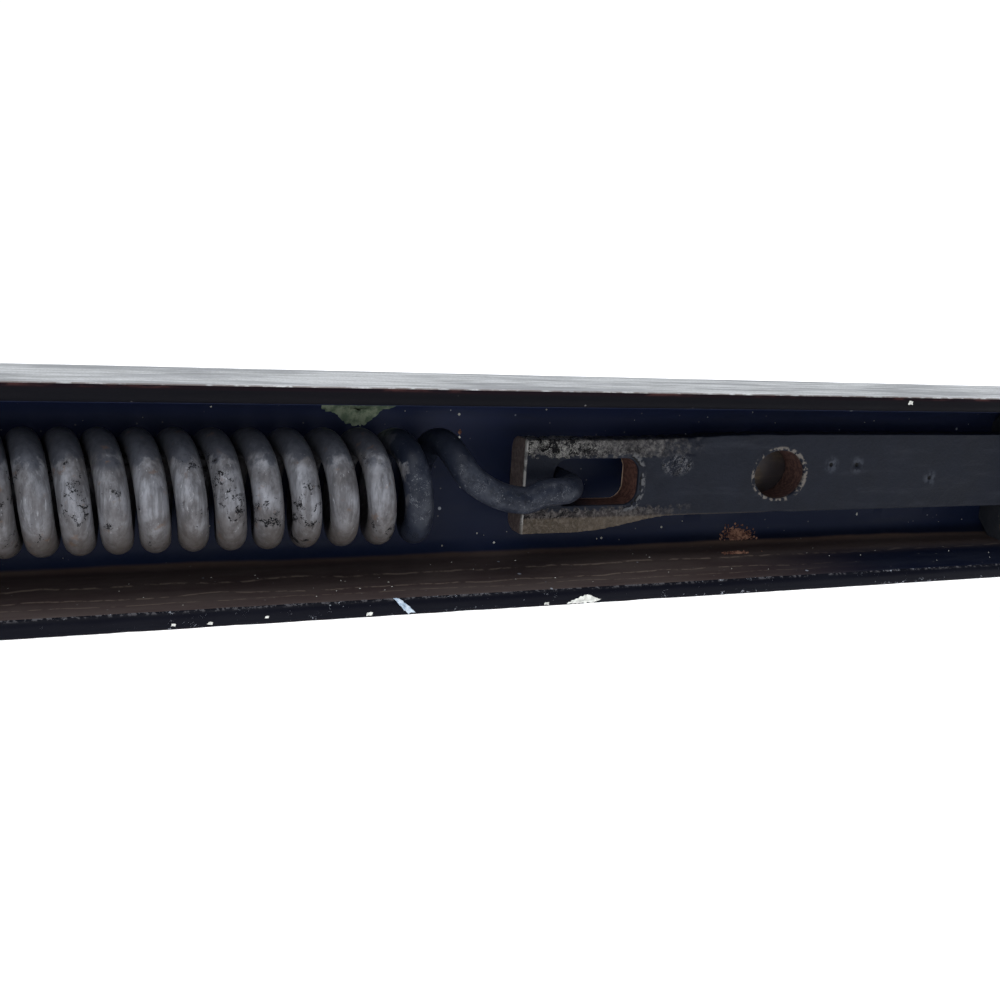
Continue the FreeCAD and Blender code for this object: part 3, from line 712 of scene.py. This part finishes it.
def worn_wire():
    f = Finish("worn_spring_wire", Specular_IOR_Level=0.16)
    t = f.tree
    patch = f.blotches(110.0, 0.36, 0.66)
    steel = mix(t, patch, tone(124, 125, 131), tone(92, 90, 92))
    drawn = f.streaks((1.0, 1.0, 0.14), 520.0, 0.40, 0.62)
    steel = mix(t, times(t, drawn, 0.6), steel, tone(58, 56, 58))
    bright = f.streaks((1.0, 1.0, 0.2), 1100.0, 0.60, 0.72)
    steel = mix(t, times(t, bright, 0.55), steel, tone(172, 173, 178))
    # warm under side of each coil, a painted reflection of the brown flange below
    under = step(t, f.z, AXIS_Z - 1 * MM, AXIS_Z - 15 * MM)
    steel = mix(t, times(t, under, 0.7), steel, tone(74, 66, 60))
    # painted shade: the back of each coil, towards the web, is darker
    back = step(t, f.y, SPRING_Y - 12 * MM, SPRING_Y - 3 * MM)
    steel = mix(t, times(t, back, 0.5), steel, tone(44, 42, 44))
    # dark crown: old paint held there and partly painted shade under the upper flange
    ragged = f.blotches(170.0, 0.40, 0.58)
    crown = step(t, plus(t, f.z, times(t, ragged, 3 * MM)), AXIS_Z + 10.5 * MM, AXIS_Z + 13.0 * MM)
    steel = mix(t, times(t, crown, 0.75), steel, tone(52, 55, 64))
    brown = f.blotches(300.0, 0.60, 0.70)
    steel = mix(t, times(t, brown, 0.45), steel, tone(96, 74, 58))
    # black pits, gathered in clusters
    cluster = f.blotches(60.0, 0.42, 0.60, 1.0)
    gone = plus(t, 0.28, times(t, cluster, 0.12))
    pits = f.flakes(300.0, gone)
    pits = times(t, pits, step(t, f.z, AXIS_Z + 14 * MM, AXIS_Z + 10 * MM))
    steel = mix(t, pits, steel, tone(12, 12, 15))
    # paint still on the end coil and hook, rubbed and lighter on the front, which is partly a painted
    # highlight
    wander = times(t, minus(t, ragged, 0.5), 3 * MM)
    painted = step(t, plus(t, f.x, wander), COIL_END - 17.0 * MM, COIL_END - 15.5 * MM)
    coat = mix(t, patch, tone(21, 25, 36), tone(30, 34, 45))
    proud = step(t, f.y, SPRING_Y - 11 * MM, SPRING_Y - 17 * MM)
    rub_and_highlight = times(t, proud, f.blotches(240.0, 0.38, 0.62))
    coat = mix(t, times(t, rub_and_highlight, 0.35), coat, tone(66, 69, 77))
    scuff = f.flakes(520.0, plus(t, 0.27, times(t, proud, 0.05)), "Rim")
    coat = mix(t, times(t, scuff, 0.7), coat, tone(120, 122, 128))
    colour = mix(t, painted, steel, coat)
    bare = minus(t, 1.0, painted)
    rough = plus(t, step(t, patch, 0.0, 1.0, 0.38, 0.55), times(t, pits, 0.3))
    metal = times(t, bare, minus(t, 1.0, pits), 0.3)
    height = minus(t, times(t, drawn, -0.25), times(t, pits, 1.6))
    height = plus(t, height, times(t, rub_and_highlight, painted, -0.5))
    return f.lay(colour, rough, metal, height, 0.09)


spring.data.materials.append(worn_wire())
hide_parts("spring")
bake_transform(spring)

# ---------------------------------------------------------------------------
# Draw bar. A flat forged bar whose slotted end is spread taller and hammered rough,
# painted dark slate. The paint has flaked off its upper and lower margins, a cracked
# ridge stands round the slot's end, and the drive hole's rim is chipped.
# ---------------------------------------------------------------------------
BAR_END = bar_low[0]
SLOT_LEFT = BAR_END + 10.2 * MM
SLOT_RIGHT = BAR_END + 40.0 * MM
SLOT_MIDDLE = AXIS_Z + 0.6 * MM
SLOT_HALF = 7.5 * MM
SLOT_CORNER = 5.0 * MM
DRIVE_X = BAR_END + 94.7 * MM
DRIVE_Z = AXIS_Z + 2.1 * MM
DRIVE_RADIUS = 9.0 * MM
BAR_FRONT = bar_low[1]
PITTED_X = BAR_END + 54.0 * MM
PITTED_Z = AXIS_Z + 5.7 * MM
LONE_PITS = ((141.0 * MM, 6.7 * MM), (152.0 * MM, 6.6 * MM), (185.6 * MM, 1.5 * MM))


def smooth_step(value, start, end):
    share = min(1.0, max(0.0, (value - start) / (end - start)))
    return share * share * (3 - 2 * share)


def beyond_slot(x, z):
    """Distance outside the slot's rounded outline."""
    half_x = (SLOT_RIGHT - SLOT_LEFT) / 2 - SLOT_CORNER
    dx = abs(x - (SLOT_LEFT + SLOT_RIGHT) / 2) - half_x
    dz = abs(z - SLOT_MIDDLE) - (SLOT_HALF - SLOT_CORNER)
    return math.hypot(max(dx, 0.0), max(dz, 0.0)) + min(max(dx, dz), 0.0) - SLOT_CORNER


def refined_copy(node, name, size):
    """Copy a solid piece's shape as an even skin of small faces."""
    copy = bpy.data.objects.new(name, bpy.data.objects[node].data.copy())
    bpy.context.collection.objects.link(copy)
    copy.matrix_world = bpy.data.objects[node].matrix_world.copy()
    skin = copy.modifiers.new("skin", "REMESH")
    skin.mode = "VOXEL"
    skin.voxel_size = size
    bpy.context.view_layer.update()
    fine = bpy.data.meshes.new_from_object(copy.evaluated_get(bpy.context.evaluated_depsgraph_get()))
    copy.modifiers.clear()
    copy.data = fine
    copy.data.transform(copy.matrix_world)
    copy.matrix_world.identity()
    fine.materials.clear()
    fine.polygons.foreach_set("use_smooth", [True] * len(fine.polygons))
    return copy


def forge_wear(place):
    """Hammered, flaked and worn surface of the draw bar."""
    x, y, z = place
    # the drive hole has worn wider along the bar than across it
    away = math.hypot(x - DRIVE_X, z - DRIVE_Z)
    near = 1 - smooth_step(away, DRIVE_RADIUS + 0.5 * MM, DRIVE_RADIUS + 6 * MM)
    if away > 1 * MM:
        x += near * 1.0 * MM * (x - DRIVE_X) / away
        z -= near * 0.75 * MM * (z - DRIVE_Z) / away
    front = 1 - smooth_step(y, BAR_FRONT + 0.2 * MM, BAR_FRONT + 1.2 * MM)
    rough_end = 1 - smooth_step(x, BAR_END + 45 * MM, BAR_END + 75 * MM)
    grain = noise.noise(place * 260) * 0.10 * MM + noise.noise(place * 90) * 0.12 * MM
    out = grain * (0.35 + 0.65 * rough_end)
    height = z - AXIS_Z
    upper = smooth_step(height, 8.6 * MM, 9.6 * MM) * rough_end
    lower = (1 - smooth_step(height, -8.2 * MM, -7.0 * MM)) * rough_end
    flakes = noise.noise(Vector((place.x * 330, 3.0, place.z * 260)))
    out += upper * (0.25 * MM - 0.75 * MM * smooth_step(flakes, 0.0, 0.25))
    out += lower * (0.20 * MM - 0.35 * MM * smooth_step(flakes, 0.1, 0.35))
    # ridge pushed up round the slot's far end
    rim = beyond_slot(x, z)
    far = smooth_step(x, SLOT_RIGHT - 9 * MM, SLOT_RIGHT - 3 * MM)
    ridge = math.exp(-((rim - 1.8 * MM) / (0.9 * MM)) ** 2)
    out += far * ridge * (0.45 * MM + 0.25 * MM * noise.noise(place * 500))
    lip = math.exp(-((away - DRIVE_RADIUS - 0.7 * MM) / (0.5 * MM)) ** 2)
    out += lip * 0.28 * MM * noise.noise(place * 700 + Vector((9, 0, 0)))
    # patch of deep slanting pits, and three lone ones further on
    pits = noise.noise(Vector(((place.x - place.z * 0.5) * 620, 0.0, place.z * 300)))
    patch = 1 - smooth_step(math.hypot((x - PITTED_X) / 1.6, z - PITTED_Z), 2.4 * MM, 4.4 * MM)
    out -= patch * 0.9 * MM * smooth_step(pits, 0.08, 0.4)
    for pit_x, pit_z in LONE_PITS:
        out -= 0.7 * MM * math.exp(-((x - pit_x) ** 2 + (z - pit_z) ** 2) / (0.9 * MM * MM))
    y -= front * min(out, 0.6 * MM)
    side = (1 - front) * min(out, 0.2 * MM)
    if height > 9 * MM:
        z += side
    elif height < -9 * MM:
        z -= side
    return Vector((x, y, z))


draw_bar = refined_copy("draw_bar", "forged_bar", (0.42) * MM)
for vertex in draw_bar.data.vertices:
    vertex.co = forge_wear(vertex.co)


def flake_margins(f, colour, front, x_worn, z_worn, speck):
    """Paint flaked off the slotted end's margins, with bright chip rims on the upper margin that are partly
    a painted highlight; gives the colour, the margins and the chips.
    """
    t = f.tree
    fading = step(t, x_worn, BAR_END + 62 * MM, BAR_END + 40 * MM)
    upper = times(t, step(t, z_worn, AXIS_Z + 8.4 * MM, AXIS_Z + 9.2 * MM), fading)
    lower = times(t, step(t, z_worn, AXIS_Z - 7.6 * MM, AXIS_Z - 8.4 * MM), fading)
    margins = times(t, calc(t, "MAXIMUM", upper, lower), front)
    bare = mix(t, speck, tone(50, 48, 50), tone(96, 93, 92))
    grime = times(t, step(t, f.z, AXIS_Z - 6 * MM, AXIS_Z - 14 * MM), 0.35)
    bare = mix(t, grime, bare, tone(92, 76, 62))
    colour = mix(t, times(t, margins, 0.8), colour, bare)
    near_end = step(t, x_worn, BAR_END + 34 * MM, BAR_END + 10 * MM, 0.25, 1.0)
    # bright chip rims along the upper margin: partly chips, partly a painted highlight where the top edge
    # faces the light
    rims = f.flakes(380.0, 0.475, "Rim")
    colour = mix(t, times(t, rims, upper, near_end), colour, tone(170, 168, 162))
    chips = times(t, f.flakes(380.0, 0.475), margins)
    return mix(t, times(t, chips, near_end), colour, tone(11, 11, 14)), margins, chips


def pit_bar(f, colour, front, ragged):
    """Slanting pits beside the slot and three lone ones, black with pale rims."""
    t = f.tree
    slant = minus(t, f.x, times(t, f.z, 0.5))
    pit_place = put(t, "CombineXYZ", {0: slant, 1: 0.0, 2: times(t, f.z, 0.5)}).outputs[0]
    apart = distance(t, times(t, minus(t, f.x, PITTED_X), 0.62), minus(t, f.z, PITTED_Z))
    pitted = times(t, step(t, apart, 4.2 * MM, 2.6 * MM), front)
    for part, shade in (("Rim", tone(112, 112, 116)), ("Mask", tone(8, 8, 11))):
        holes = use(t, FLAKES, {"Vector": pit_place, "Scale": 420.0, "Gone": 0.44}, part)
        colour = mix(t, times(t, holes, pitted), colour, shade)
    for pit_x, pit_z in LONE_PITS:
        gap = distance(t, minus(t, f.x, pit_x), minus(t, f.z, pit_z))
        halo = times(t, step(t, gap, 4.0 * MM, 0.8 * MM), times(t, ragged, 0.35))
        colour = mix(t, times(t, halo, front), colour, tone(92, 96, 106))
        colour = mix(t, times(t, step(t, gap, 0.95 * MM, 0.6 * MM), front), colour, tone(8, 8, 11))
    return colour


def past(tree, place, middle, half):
    """How far a place lies past half a length from the middle, and 0 within it."""
    return calc(tree, "MAXIMUM", minus(tree, calc(tree, "ABSOLUTE", minus(tree, place, middle)), half), 0.0)


def crack_rim(f, colour, front, ragged, wander):
    """A crack and a raised ridge round the slot's far end."""
    t = f.tree
    along = past(t, f.x, (SLOT_LEFT + SLOT_RIGHT) / 2, (SLOT_RIGHT - SLOT_LEFT) / 2 - SLOT_CORNER)
    up = past(t, f.z, SLOT_MIDDLE, SLOT_HALF - SLOT_CORNER)
    rim = plus(t, minus(t, distance(t, along, up), SLOT_CORNER), times(t, wander, 0.6))
    beside = times(t, step(t, f.x, SLOT_RIGHT - 7 * MM, SLOT_RIGHT - 3 * MM), front)
    from_crack = calc(t, "ABSOLUTE", minus(t, rim, 1.0 * MM))
    from_crest = calc(t, "ABSOLUTE", minus(t, rim, 2.0 * MM))
    crack = times(t, step(t, from_crack, 0.35 * MM, 0.2 * MM), step(t, ragged, 0.3, 0.5))
    crest = times(t, step(t, from_crest, 0.9 * MM, 0.3 * MM), step(t, ragged, 0.2, 0.7))
    colour = mix(t, times(t, crest, beside, 0.7), colour, tone(96, 96, 98))
    return mix(t, times(t, crack, beside), colour, tone(8, 8, 10))


def rub_edges(f, colour, front, behind, x_worn, ragged, speck):
    """A worn line along the lower front edge that is partly a painted highlight, the pale front corner and
    the bare end face.
    """
    t = f.tree
    # the line along the lower front edge is worn paint and partly a painted highlight where the edge catches
    # the light
    edge = times(t, step(t, f.z, AXIS_Z - 10.2 * MM, AXIS_Z - 11.2 * MM), front)
    edge = times(t, edge, step(t, x_worn, BAR_END + 120 * MM, BAR_END + 50 * MM))
    colour = mix(t, times(t, edge, 0.55), colour, tone(98, 88, 76))
    corner = times(t, step(t, f.x, BAR_END + 0.75 * MM, BAR_END + 0.35 * MM), front)
    corner = times(t, corner, step(t, ragged, 0.2, 0.8, 0.35, 1.0))
    colour = mix(t, corner, colour, tone(150, 148, 146))
    end_face = times(t, step(t, f.x, BAR_END + 0.8 * MM, BAR_END + 0.3 * MM), behind)
    return mix(t, end_face, colour, mix(t, speck, tone(72, 63, 62), tone(92, 82, 79)))


def rust_walls(f, colour, front, behind, ragged, speck):
    """Rusty walls in the slot's far end and the drive hole, a painted highlight along the slot's rear edge,
    and the hole's rubbed rim.
    """
    t = f.tree
    slot_far = times(t, step(t, f.x, SLOT_LEFT + 4 * MM, SLOT_RIGHT - 8 * MM), behind)
    slot_far = times(t, slot_far, step(t, f.x, SLOT_RIGHT + 2 * MM, SLOT_RIGHT + 1 * MM))
    low_enough = step(t, f.z, AXIS_Z + 8.6 * MM, AXIS_Z + 7.6 * MM)
    high_enough = step(t, f.z, AXIS_Z - 9.0 * MM, AXIS_Z - 8.0 * MM)
    slot_far = times(t, slot_far, low_enough, high_enough)
    colour = mix(t, slot_far, colour, mix(t, speck, tone(64, 44, 40), tone(92, 66, 58)))
    # painted highlight along the rear edge of the slot's far wall
    rear_highlight = times(t, step(t, f.y, bar_high[1] - 1.0 * MM, bar_high[1] - 0.6 * MM), slot_far)
    colour = mix(t, rear_highlight, colour, tone(196, 168, 146))
    # the worn hole is an oval, so the distance from its middle is squeezed to match
    away = distance(t, times(t, minus(t, f.x, DRIVE_X), 0.9), times(t, minus(t, f.z, DRIVE_Z), 1.08))
    in_hole = times(t, step(t, away, 10.4 * MM, 9.8 * MM), behind)
    colour = mix(t, in_hole, colour, mix(t, speck, tone(58, 42, 40), tone(80, 60, 54)))
    ring = times(t, step(t, away, 8.6 * MM, 9.1 * MM), step(t, away, 10.6 * MM, 9.9 * MM))
    ring = times(t, ring, front, step(t, ragged, 0.45, 0.75))
    return mix(t, times(t, ring, 0.75), colour, tone(112, 106, 100))


def bar_paint():
    f = Finish("forged_bar_paint", Specular_IOR_Level=0.10)
    t = f.tree
    patch = f.blotches(70.0, 0.34, 0.68)
    drawn = f.streaks((0.12, 1.0, 1.0), 260.0, 0.52, 0.74)
    ragged = f.blotches(420.0, 0.38, 0.62, 3.0)
    speck = f.blotches(900.0, 0.40, 0.64, 3.0)
    front = step(t, f.y, BAR_FRONT + 1.2 * MM, BAR_FRONT + 0.6 * MM)
    behind = minus(t, 1.0, front)
    wander = times(t, minus(t, ragged, 0.5), 1.6 * MM)
    x_worn = plus(t, f.x, times(t, wander, 6.0))
    z_worn = plus(t, f.z, wander)
    colour = mix(t, patch, tone(20, 23, 32), tone(28, 31, 40))
    colour = mix(t, times(t, drawn, 0.35), colour, tone(50, 52, 60))
    colour, margins, chips = flake_margins(f, colour, front, x_worn, z_worn, speck)
    colour = pit_bar(f, colour, front, ragged)
    colour = crack_rim(f, colour, front, ragged, wander)
    colour = rub_edges(f, colour, front, behind, x_worn, ragged, speck)
    colour = rust_walls(f, colour, front, behind, ragged, speck)
    rough = plus(t, step(t, patch, 0.0, 1.0, 0.44, 0.58), times(t, margins, 0.12))
    height = minus(t, times(t, speck, 0.5), times(t, chips, 1.2))
    return f.lay(colour, rough, times(t, margins, 0.15), height, 0.1)


draw_bar.data.materials.append(bar_paint())
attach(draw_bar, "bolt")
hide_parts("draw_bar")

# ---------------------------------------------------------------------------
# Marks on the trough: a scrape of green paint on the web, a crust of rust in the
# lower corner, white and pale blue chips on the lower lip, one on the upper lip, and
# grit stuck to the paint. Thin ragged skins laid on the surfaces they belong to.
# ---------------------------------------------------------------------------
def web_face(z):
    """Depth in mm of the web's face and of the fillet that it runs into, at height z."""
    root = ROOT_RADIUS / MM
    into = min(root, max(0.0, abs(z) - (flange_gap(-WEB) / MM - root)))
    return -WEB / MM - root + math.sqrt(root * root - into * into)


def lip_face(z):
    """Depth in mm of the lips' front face, the same at every height."""
    return TROUGH_FRONT / MM


def ragged_skin(name, outline, face, thick, rough, seed):
    """A thin skin of the given outline with a frayed edge, lying on a face."""
    drift = Vector((seed * 7.3, seed * 3.1, 0))
    rim = []
    for (x0, z0), (x1, z1) in zip(outline, outline[1:] + outline[:1]):
        steps = max(2, int(math.hypot(x1 - x0, z1 - z0) / 0.25))
        for i in range(steps):
            x, z = x0 + (x1 - x0) * i / steps, z0 + (z1 - z0) * i / steps
            place = Vector((x, z, 0)) * 1.1 + drift
            fray_x, fray_z = noise.noise(place), noise.noise(place + Vector((31.7, 0, 0)))
            rim.append((x + fray_x * rough, z + fray_z * rough))
    middle = (sum(x for x, _ in rim) / len(rim), sum(z for _, z in rim) / len(rim))
    points, faces = [], []
    rings = 5
    for r in range(rings + 1):
        share = 1 - r / (rings + 0.6)
        for x, z in rim:
            px, pz = middle[0] + (x - middle[0]) * share, middle[1] + (z - middle[1]) * share
            lump = noise.noise(Vector((px, pz, seed)) * 1.7) * 0.35 + 0.75
            lift = -0.02 if r == 0 else thick * lump
            points.append(Vector((px, face(pz) - lift, pz)) * MM)
    n = len(rim)
    for r in range(rings):
        for i in range(n):
            j = (i + 1) % n
            faces.append((r * n + i, (r + 1) * n + i, (r + 1) * n + j, r * n + j))
    faces.append(tuple(rings * n + i for i in range(n)))
    return new_mesh(name, points, faces)


def daub(name, low_tone, high_tone, roughness, scale):
    f = Finish(name, Specular_IOR_Level=0.3)
    t = f.tree
    mottle = f.blotches(scale, 0.38, 0.62)
    colour = mix(t, mottle, low_tone, high_tone)
    grit = f.blotches(scale * 3, 0.55, 0.70)
    colour = mix(t, times(t, grit, 0.4), colour, low_tone)
    rough = step(t, mottle, 0.0, 1.0, roughness - 0.1, roughness)
    return f.lay(colour, rough, None, plus(t, mottle, grit), 0.08)


def stick_on(piece, material):
    piece.data.materials.append(material)
    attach(piece, "housing")


green = [(-34.8, 23.9), (-9.2, 24.3), (-11.5, 22.6), (-15.0, 21.6), (-17.2, 18.6)]
green += [(-20.4, 16.6), (-24.0, 16.2), (-26.8, 17.6), (-29.0, 20.4), (-33.6, 21.6)]
green_paint = daub("green_scrape", tone(96, 112, 92), tone(146, 158, 134), 0.7, 420.0)
stick_on(ragged_skin("green_scrape", green, web_face, 0.12, 0.9, 1), green_paint)
white = [(34.6, -31.9), (37.2, -30.8), (40.6, -29.4), (43.0, -29.9), (46.2, -31.2), (44.0, -32.1)]
chip_white = daub("white_chip", tone(196, 196, 190), tone(236, 236, 230), 0.6, 600.0)
stick_on(ragged_skin("white_chip", white, lip_face, 0.15, 0.5, 2), chip_white)
blue = [(-20.4, -26.9), (-18.6, -27.3), (-15.8, -29.6), (-13.6, -31.6), (-15.6, -31.9), (-17.6, -30.2)]
chip_blue = daub("pale_blue_chip", tone(150, 170, 190), tone(206, 218, 230), 0.6, 600.0)
stick_on(ragged_skin("pale_blue_chip", blue, lip_face, 0.12, 0.35, 3), chip_blue)

# small chips on the lips: place along, height and half width
lip_chips = [(-27.2, -31.3, 1.0), (28.0, -31.5, 0.8), (-71.2, -31.1, 0.8)]
lip_chips += [(-80.8, -31.0, 0.7), (-56.1, -30.4, 0.6), (157.2, 30.6, 1.1)]
chip_shape = ((-1, -0.5), (0.8, -0.6), (1, 0.4), (-0.6, 0.6))
for number, (x, z, size) in enumerate(lip_chips):
    spot = [(x + size * along, z + size * up) for along, up in chip_shape]
    stick_on(ragged_skin("lip_chip_%d" % number, spot, lip_face, 0.1, 0.4, 10 + number), chip_white)

grit_points, grit_faces = [], []
chosen = random.Random(11)


def add_grain(x, y, z, size):
    """One faceted grain: a squashed, jittered octahedron."""
    first = len(grit_points)
    for way in ((1, 0, 0), (-1, 0, 0), (0, 1, 0), (0, -1, 0), (0, 0, 1), (0, 0, -1)):
        reach = size * chosen.uniform(0.6, 1.2)
        squash = 0.4 if way[1] else 1.0
        grit_points.append(Vector((x, y, z)) * MM + Vector(way) * reach * squash * MM)
    for a, b, c in ((0, 2, 4), (2, 1, 4), (1, 3, 4), (3, 0, 4), (2, 0, 5), (1, 2, 5), (3, 1, 5), (0, 3, 5)):
        grit_faces.append((first + a, first + b, first + c))


# the larger grains on the web, then fine ones over the web and the lower flange
large_grains = [(10.5, 20.3, 0.55), (40.2, 22.2, 0.45), (172.7, -16.2, 0.55), (24.9, -21.6, 0.5)]
large_grains += [(19.1, -18.4, 0.4), (-89.2, -11.2, 0.4), (-66, -13.4, 0.4), (6.9, -21.9, 0.4)]
large_grains += [(11.0, 12.9, 0.5), (88.0, -18.6, 0.5), (64.5, -21.4, 0.7), (62.6, -21.6, 0.4)]
large_grains += [(-66, 22, 0.4), (120, 22, 0.35)]
for x, z, size in large_grains:
    add_grain(x, web_face(z), z, size)
for i in range(70):
    height = chosen.uniform(-22, 23)
    add_grain(chosen.uniform(-230, 230), web_face(height), height, chosen.uniform(0.12, 0.28))
for i in range(60):
    depth = chosen.uniform(-38, -14)
    add_grain(chosen.uniform(-230, 230), depth, -flange_gap(depth * MM) / MM, chosen.uniform(0.15, 0.35))
grit = new_mesh("grit", grit_points, grit_faces, False)
stick_on(grit, daub("grit", tone(150, 148, 140), tone(214, 214, 208), 0.7, 300.0))

# one tan lump on the web, then the crust in the corner below the drive hole
grit_points, grit_faces = [], []
LUMP_X, LUMP_Z = 11.2, 14.6
add_grain(LUMP_X, web_face(LUMP_Z), LUMP_Z, 0.9)
for i in range(460):
    x = 119.0 + chosen.gauss(0, 2.8)
    z = max(-24.4, -23.4 + abs(chosen.gauss(0, 1.7)))
    add_grain(x, web_face(z) - 0.2, z, chosen.uniform(0.25, 0.55))
for i in range(120):
    depth = -17.2 - chosen.random() * 1.8
    x, z = 110.5 + chosen.gauss(0, 2.6), -flange_gap(depth * MM) / MM + 0.2
    add_grain(x, depth, z, chosen.uniform(0.3, 0.6))
crust = new_mesh("rust_crust", grit_points, grit_faces, False)
stick_on(crust, daub("rust_crust", tone(74, 42, 34), tone(150, 112, 92), 0.85, 900.0))

# ---------------------------------------------------------------------------
# Bolt nose, its two cross pins and the stop pin. Turned bright steel, lightly oiled,
# with lathe rings on the nose and long rub marks where it slides in the bush.
# ---------------------------------------------------------------------------
def coat(nodes, material):
    for node in nodes:
        skin = bpy.data.objects[node].data
        skin.materials.clear()
        skin.materials.append(material)


def bright_steel():
    f = Finish("turned_steel", Specular_IOR_Level=0.5)
    t = f.tree
    rings = f.streaks((1.0, 0.02, 0.02), 1500.0, 0.35, 0.65)
    rubs = f.streaks((0.04, 1.0, 1.0), 900.0, 0.52, 0.72)
    stain = f.blotches(90.0, 0.50, 0.75)
    colour = mix(t, rings, tone(150, 150, 150), tone(184, 184, 182))
    colour = mix(t, times(t, rubs, 0.5), colour, tone(104, 102, 100))
    colour = mix(t, times(t, stain, 0.5), colour, tone(112, 94, 78))
    rough = plus(t, times(t, rings, 0.08), step(t, stain, 0.0, 1.0, 0.26, 0.46))
    metal = step(t, stain, 0.0, 1.0, 1.0, 0.7)
    return f.lay(colour, rough, metal, plus(t, rings, rubs), 0.012)


coat(["bolt_nose", "stop_pin", "cross_pin_left", "cross_pin_right"], bright_steel())


# ---------------------------------------------------------------------------
# Guide block and anchor eye. Forged iron brushed with dark paint that has rubbed
# through on corners, with the coarse skin of the forging showing under it.
# ---------------------------------------------------------------------------
def forged_iron():
    f = Finish("painted_iron", Specular_IOR_Level=0.4)
    t = f.tree
    patch = f.blotches(60.0, 0.35, 0.65)
    skin = f.blotches(700.0, 0.30, 0.70)
    chips = f.flakes(160.0, 0.34)
    colour = mix(t, patch, tone(38, 41, 48), tone(54, 55, 60))
    colour = mix(t, chips, colour, mix(t, skin, tone(86, 66, 54), tone(112, 104, 98)))
    rough = plus(t, step(t, patch, 0.0, 1.0, 0.5, 0.62), times(t, chips, 0.15))
    height = minus(t, times(t, skin, 0.6), chips)
    return f.lay(colour, rough, times(t, chips, 0.3), height, 0.09)


coat(["guide_block", "anchor_eye"], forged_iron())


# ---------------------------------------------------------------------------
# Fasteners. Zinc-plated screws, washers and nuts; the plating has gone dull grey with
# white bloom, and rust shows in spots.
# ---------------------------------------------------------------------------
def dull_zinc():
    f = Finish("dull_zinc", Specular_IOR_Level=0.5)
    t = f.tree
    bloom = f.blotches(240.0, 0.42, 0.68)
    rust = f.flakes(200.0, 0.33)
    fine = f.blotches(1600.0, 0.35, 0.65)
    colour = mix(t, bloom, tone(128, 130, 132), tone(168, 170, 168))
    colour = mix(t, rust, colour, mix(t, fine, tone(92, 52, 34), tone(126, 82, 54)))
    bare = minus(t, 1.0, rust)
    rough = plus(t, step(t, bloom, 0.0, 1.0, 0.34, 0.55), times(t, rust, 0.25))
    metal = times(t, bare, step(t, bloom, 0.0, 1.0, 0.9, 0.5))
    return f.lay(colour, rough, metal, plus(t, fine, rust), 0.02)


zinc_nodes = ["anchor_washer", "adjusting_nut", "lock_nut"]
zinc_nodes += ["guide_%s_%s" % (kind, side) for kind in ("washer", "screw") for side in ("top", "bottom")]
zinc_nodes += ["pad_screw_%d" % number for number in range(1, 5)]
coat(zinc_nodes, dull_zinc())


# ---------------------------------------------------------------------------
# Slide pads and guide bush. Cast bearing bronze gone brown, scored along the way the
# bolt slides and smeared with old grease.
# ---------------------------------------------------------------------------
def old_bronze():
    f = Finish("old_bronze", Specular_IOR_Level=0.2)
    t = f.tree
    scores = f.streaks((0.05, 1.0, 1.0), 900.0, 0.45, 0.65)
    grease = f.blotches(80.0, 0.30, 0.52)
    colour = mix(t, scores, tone(62, 54, 48), tone(84, 72, 58))
    colour = mix(t, times(t, grease, 0.85), colour, tone(40, 36, 40))
    rough = step(t, grease, 0.0, 1.0, 0.38, 0.30)
    metal = step(t, grease, 0.0, 1.0, 0.85, 0.2)
    return f.lay(colour, rough, metal, minus(t, scores, grease), 0.02)


coat(["slide_pad_left", "slide_pad_right", "guide_bush"], old_bronze())


# ---------------------------------------------------------------------------
# End plate, face plate and its weld beads. Flat mild steel, brushed with the same
# blue-black paint as the trough; the face plate is scuffed bare round its edge.
# ---------------------------------------------------------------------------
def plate_paint():
    f = Finish("plate_paint", Specular_IOR_Level=0.45)
    t = f.tree
    patch = f.blotches(45.0, 0.35, 0.66)
    brushed = f.streaks((1.0, 1.0, 0.1), 420.0, 0.45, 0.7)
    chips = f.flakes(120.0, 0.34)
    colour = mix(t, patch, tone(26, 31, 44), tone(40, 43, 54))
    colour = mix(t, times(t, brushed, 0.3), colour, tone(70, 72, 80))
    colour = mix(t, chips, colour, tone(112, 98, 88))
    rough = plus(t, step(t, patch, 0.0, 1.0, 0.45, 0.6), times(t, chips, 0.15))
    return f.lay(colour, rough, times(t, chips, 0.3), minus(t, brushed, chips), 0.07)


coat(["end_plate", "face_plate", "weld_top", "weld_bottom"], plate_paint())
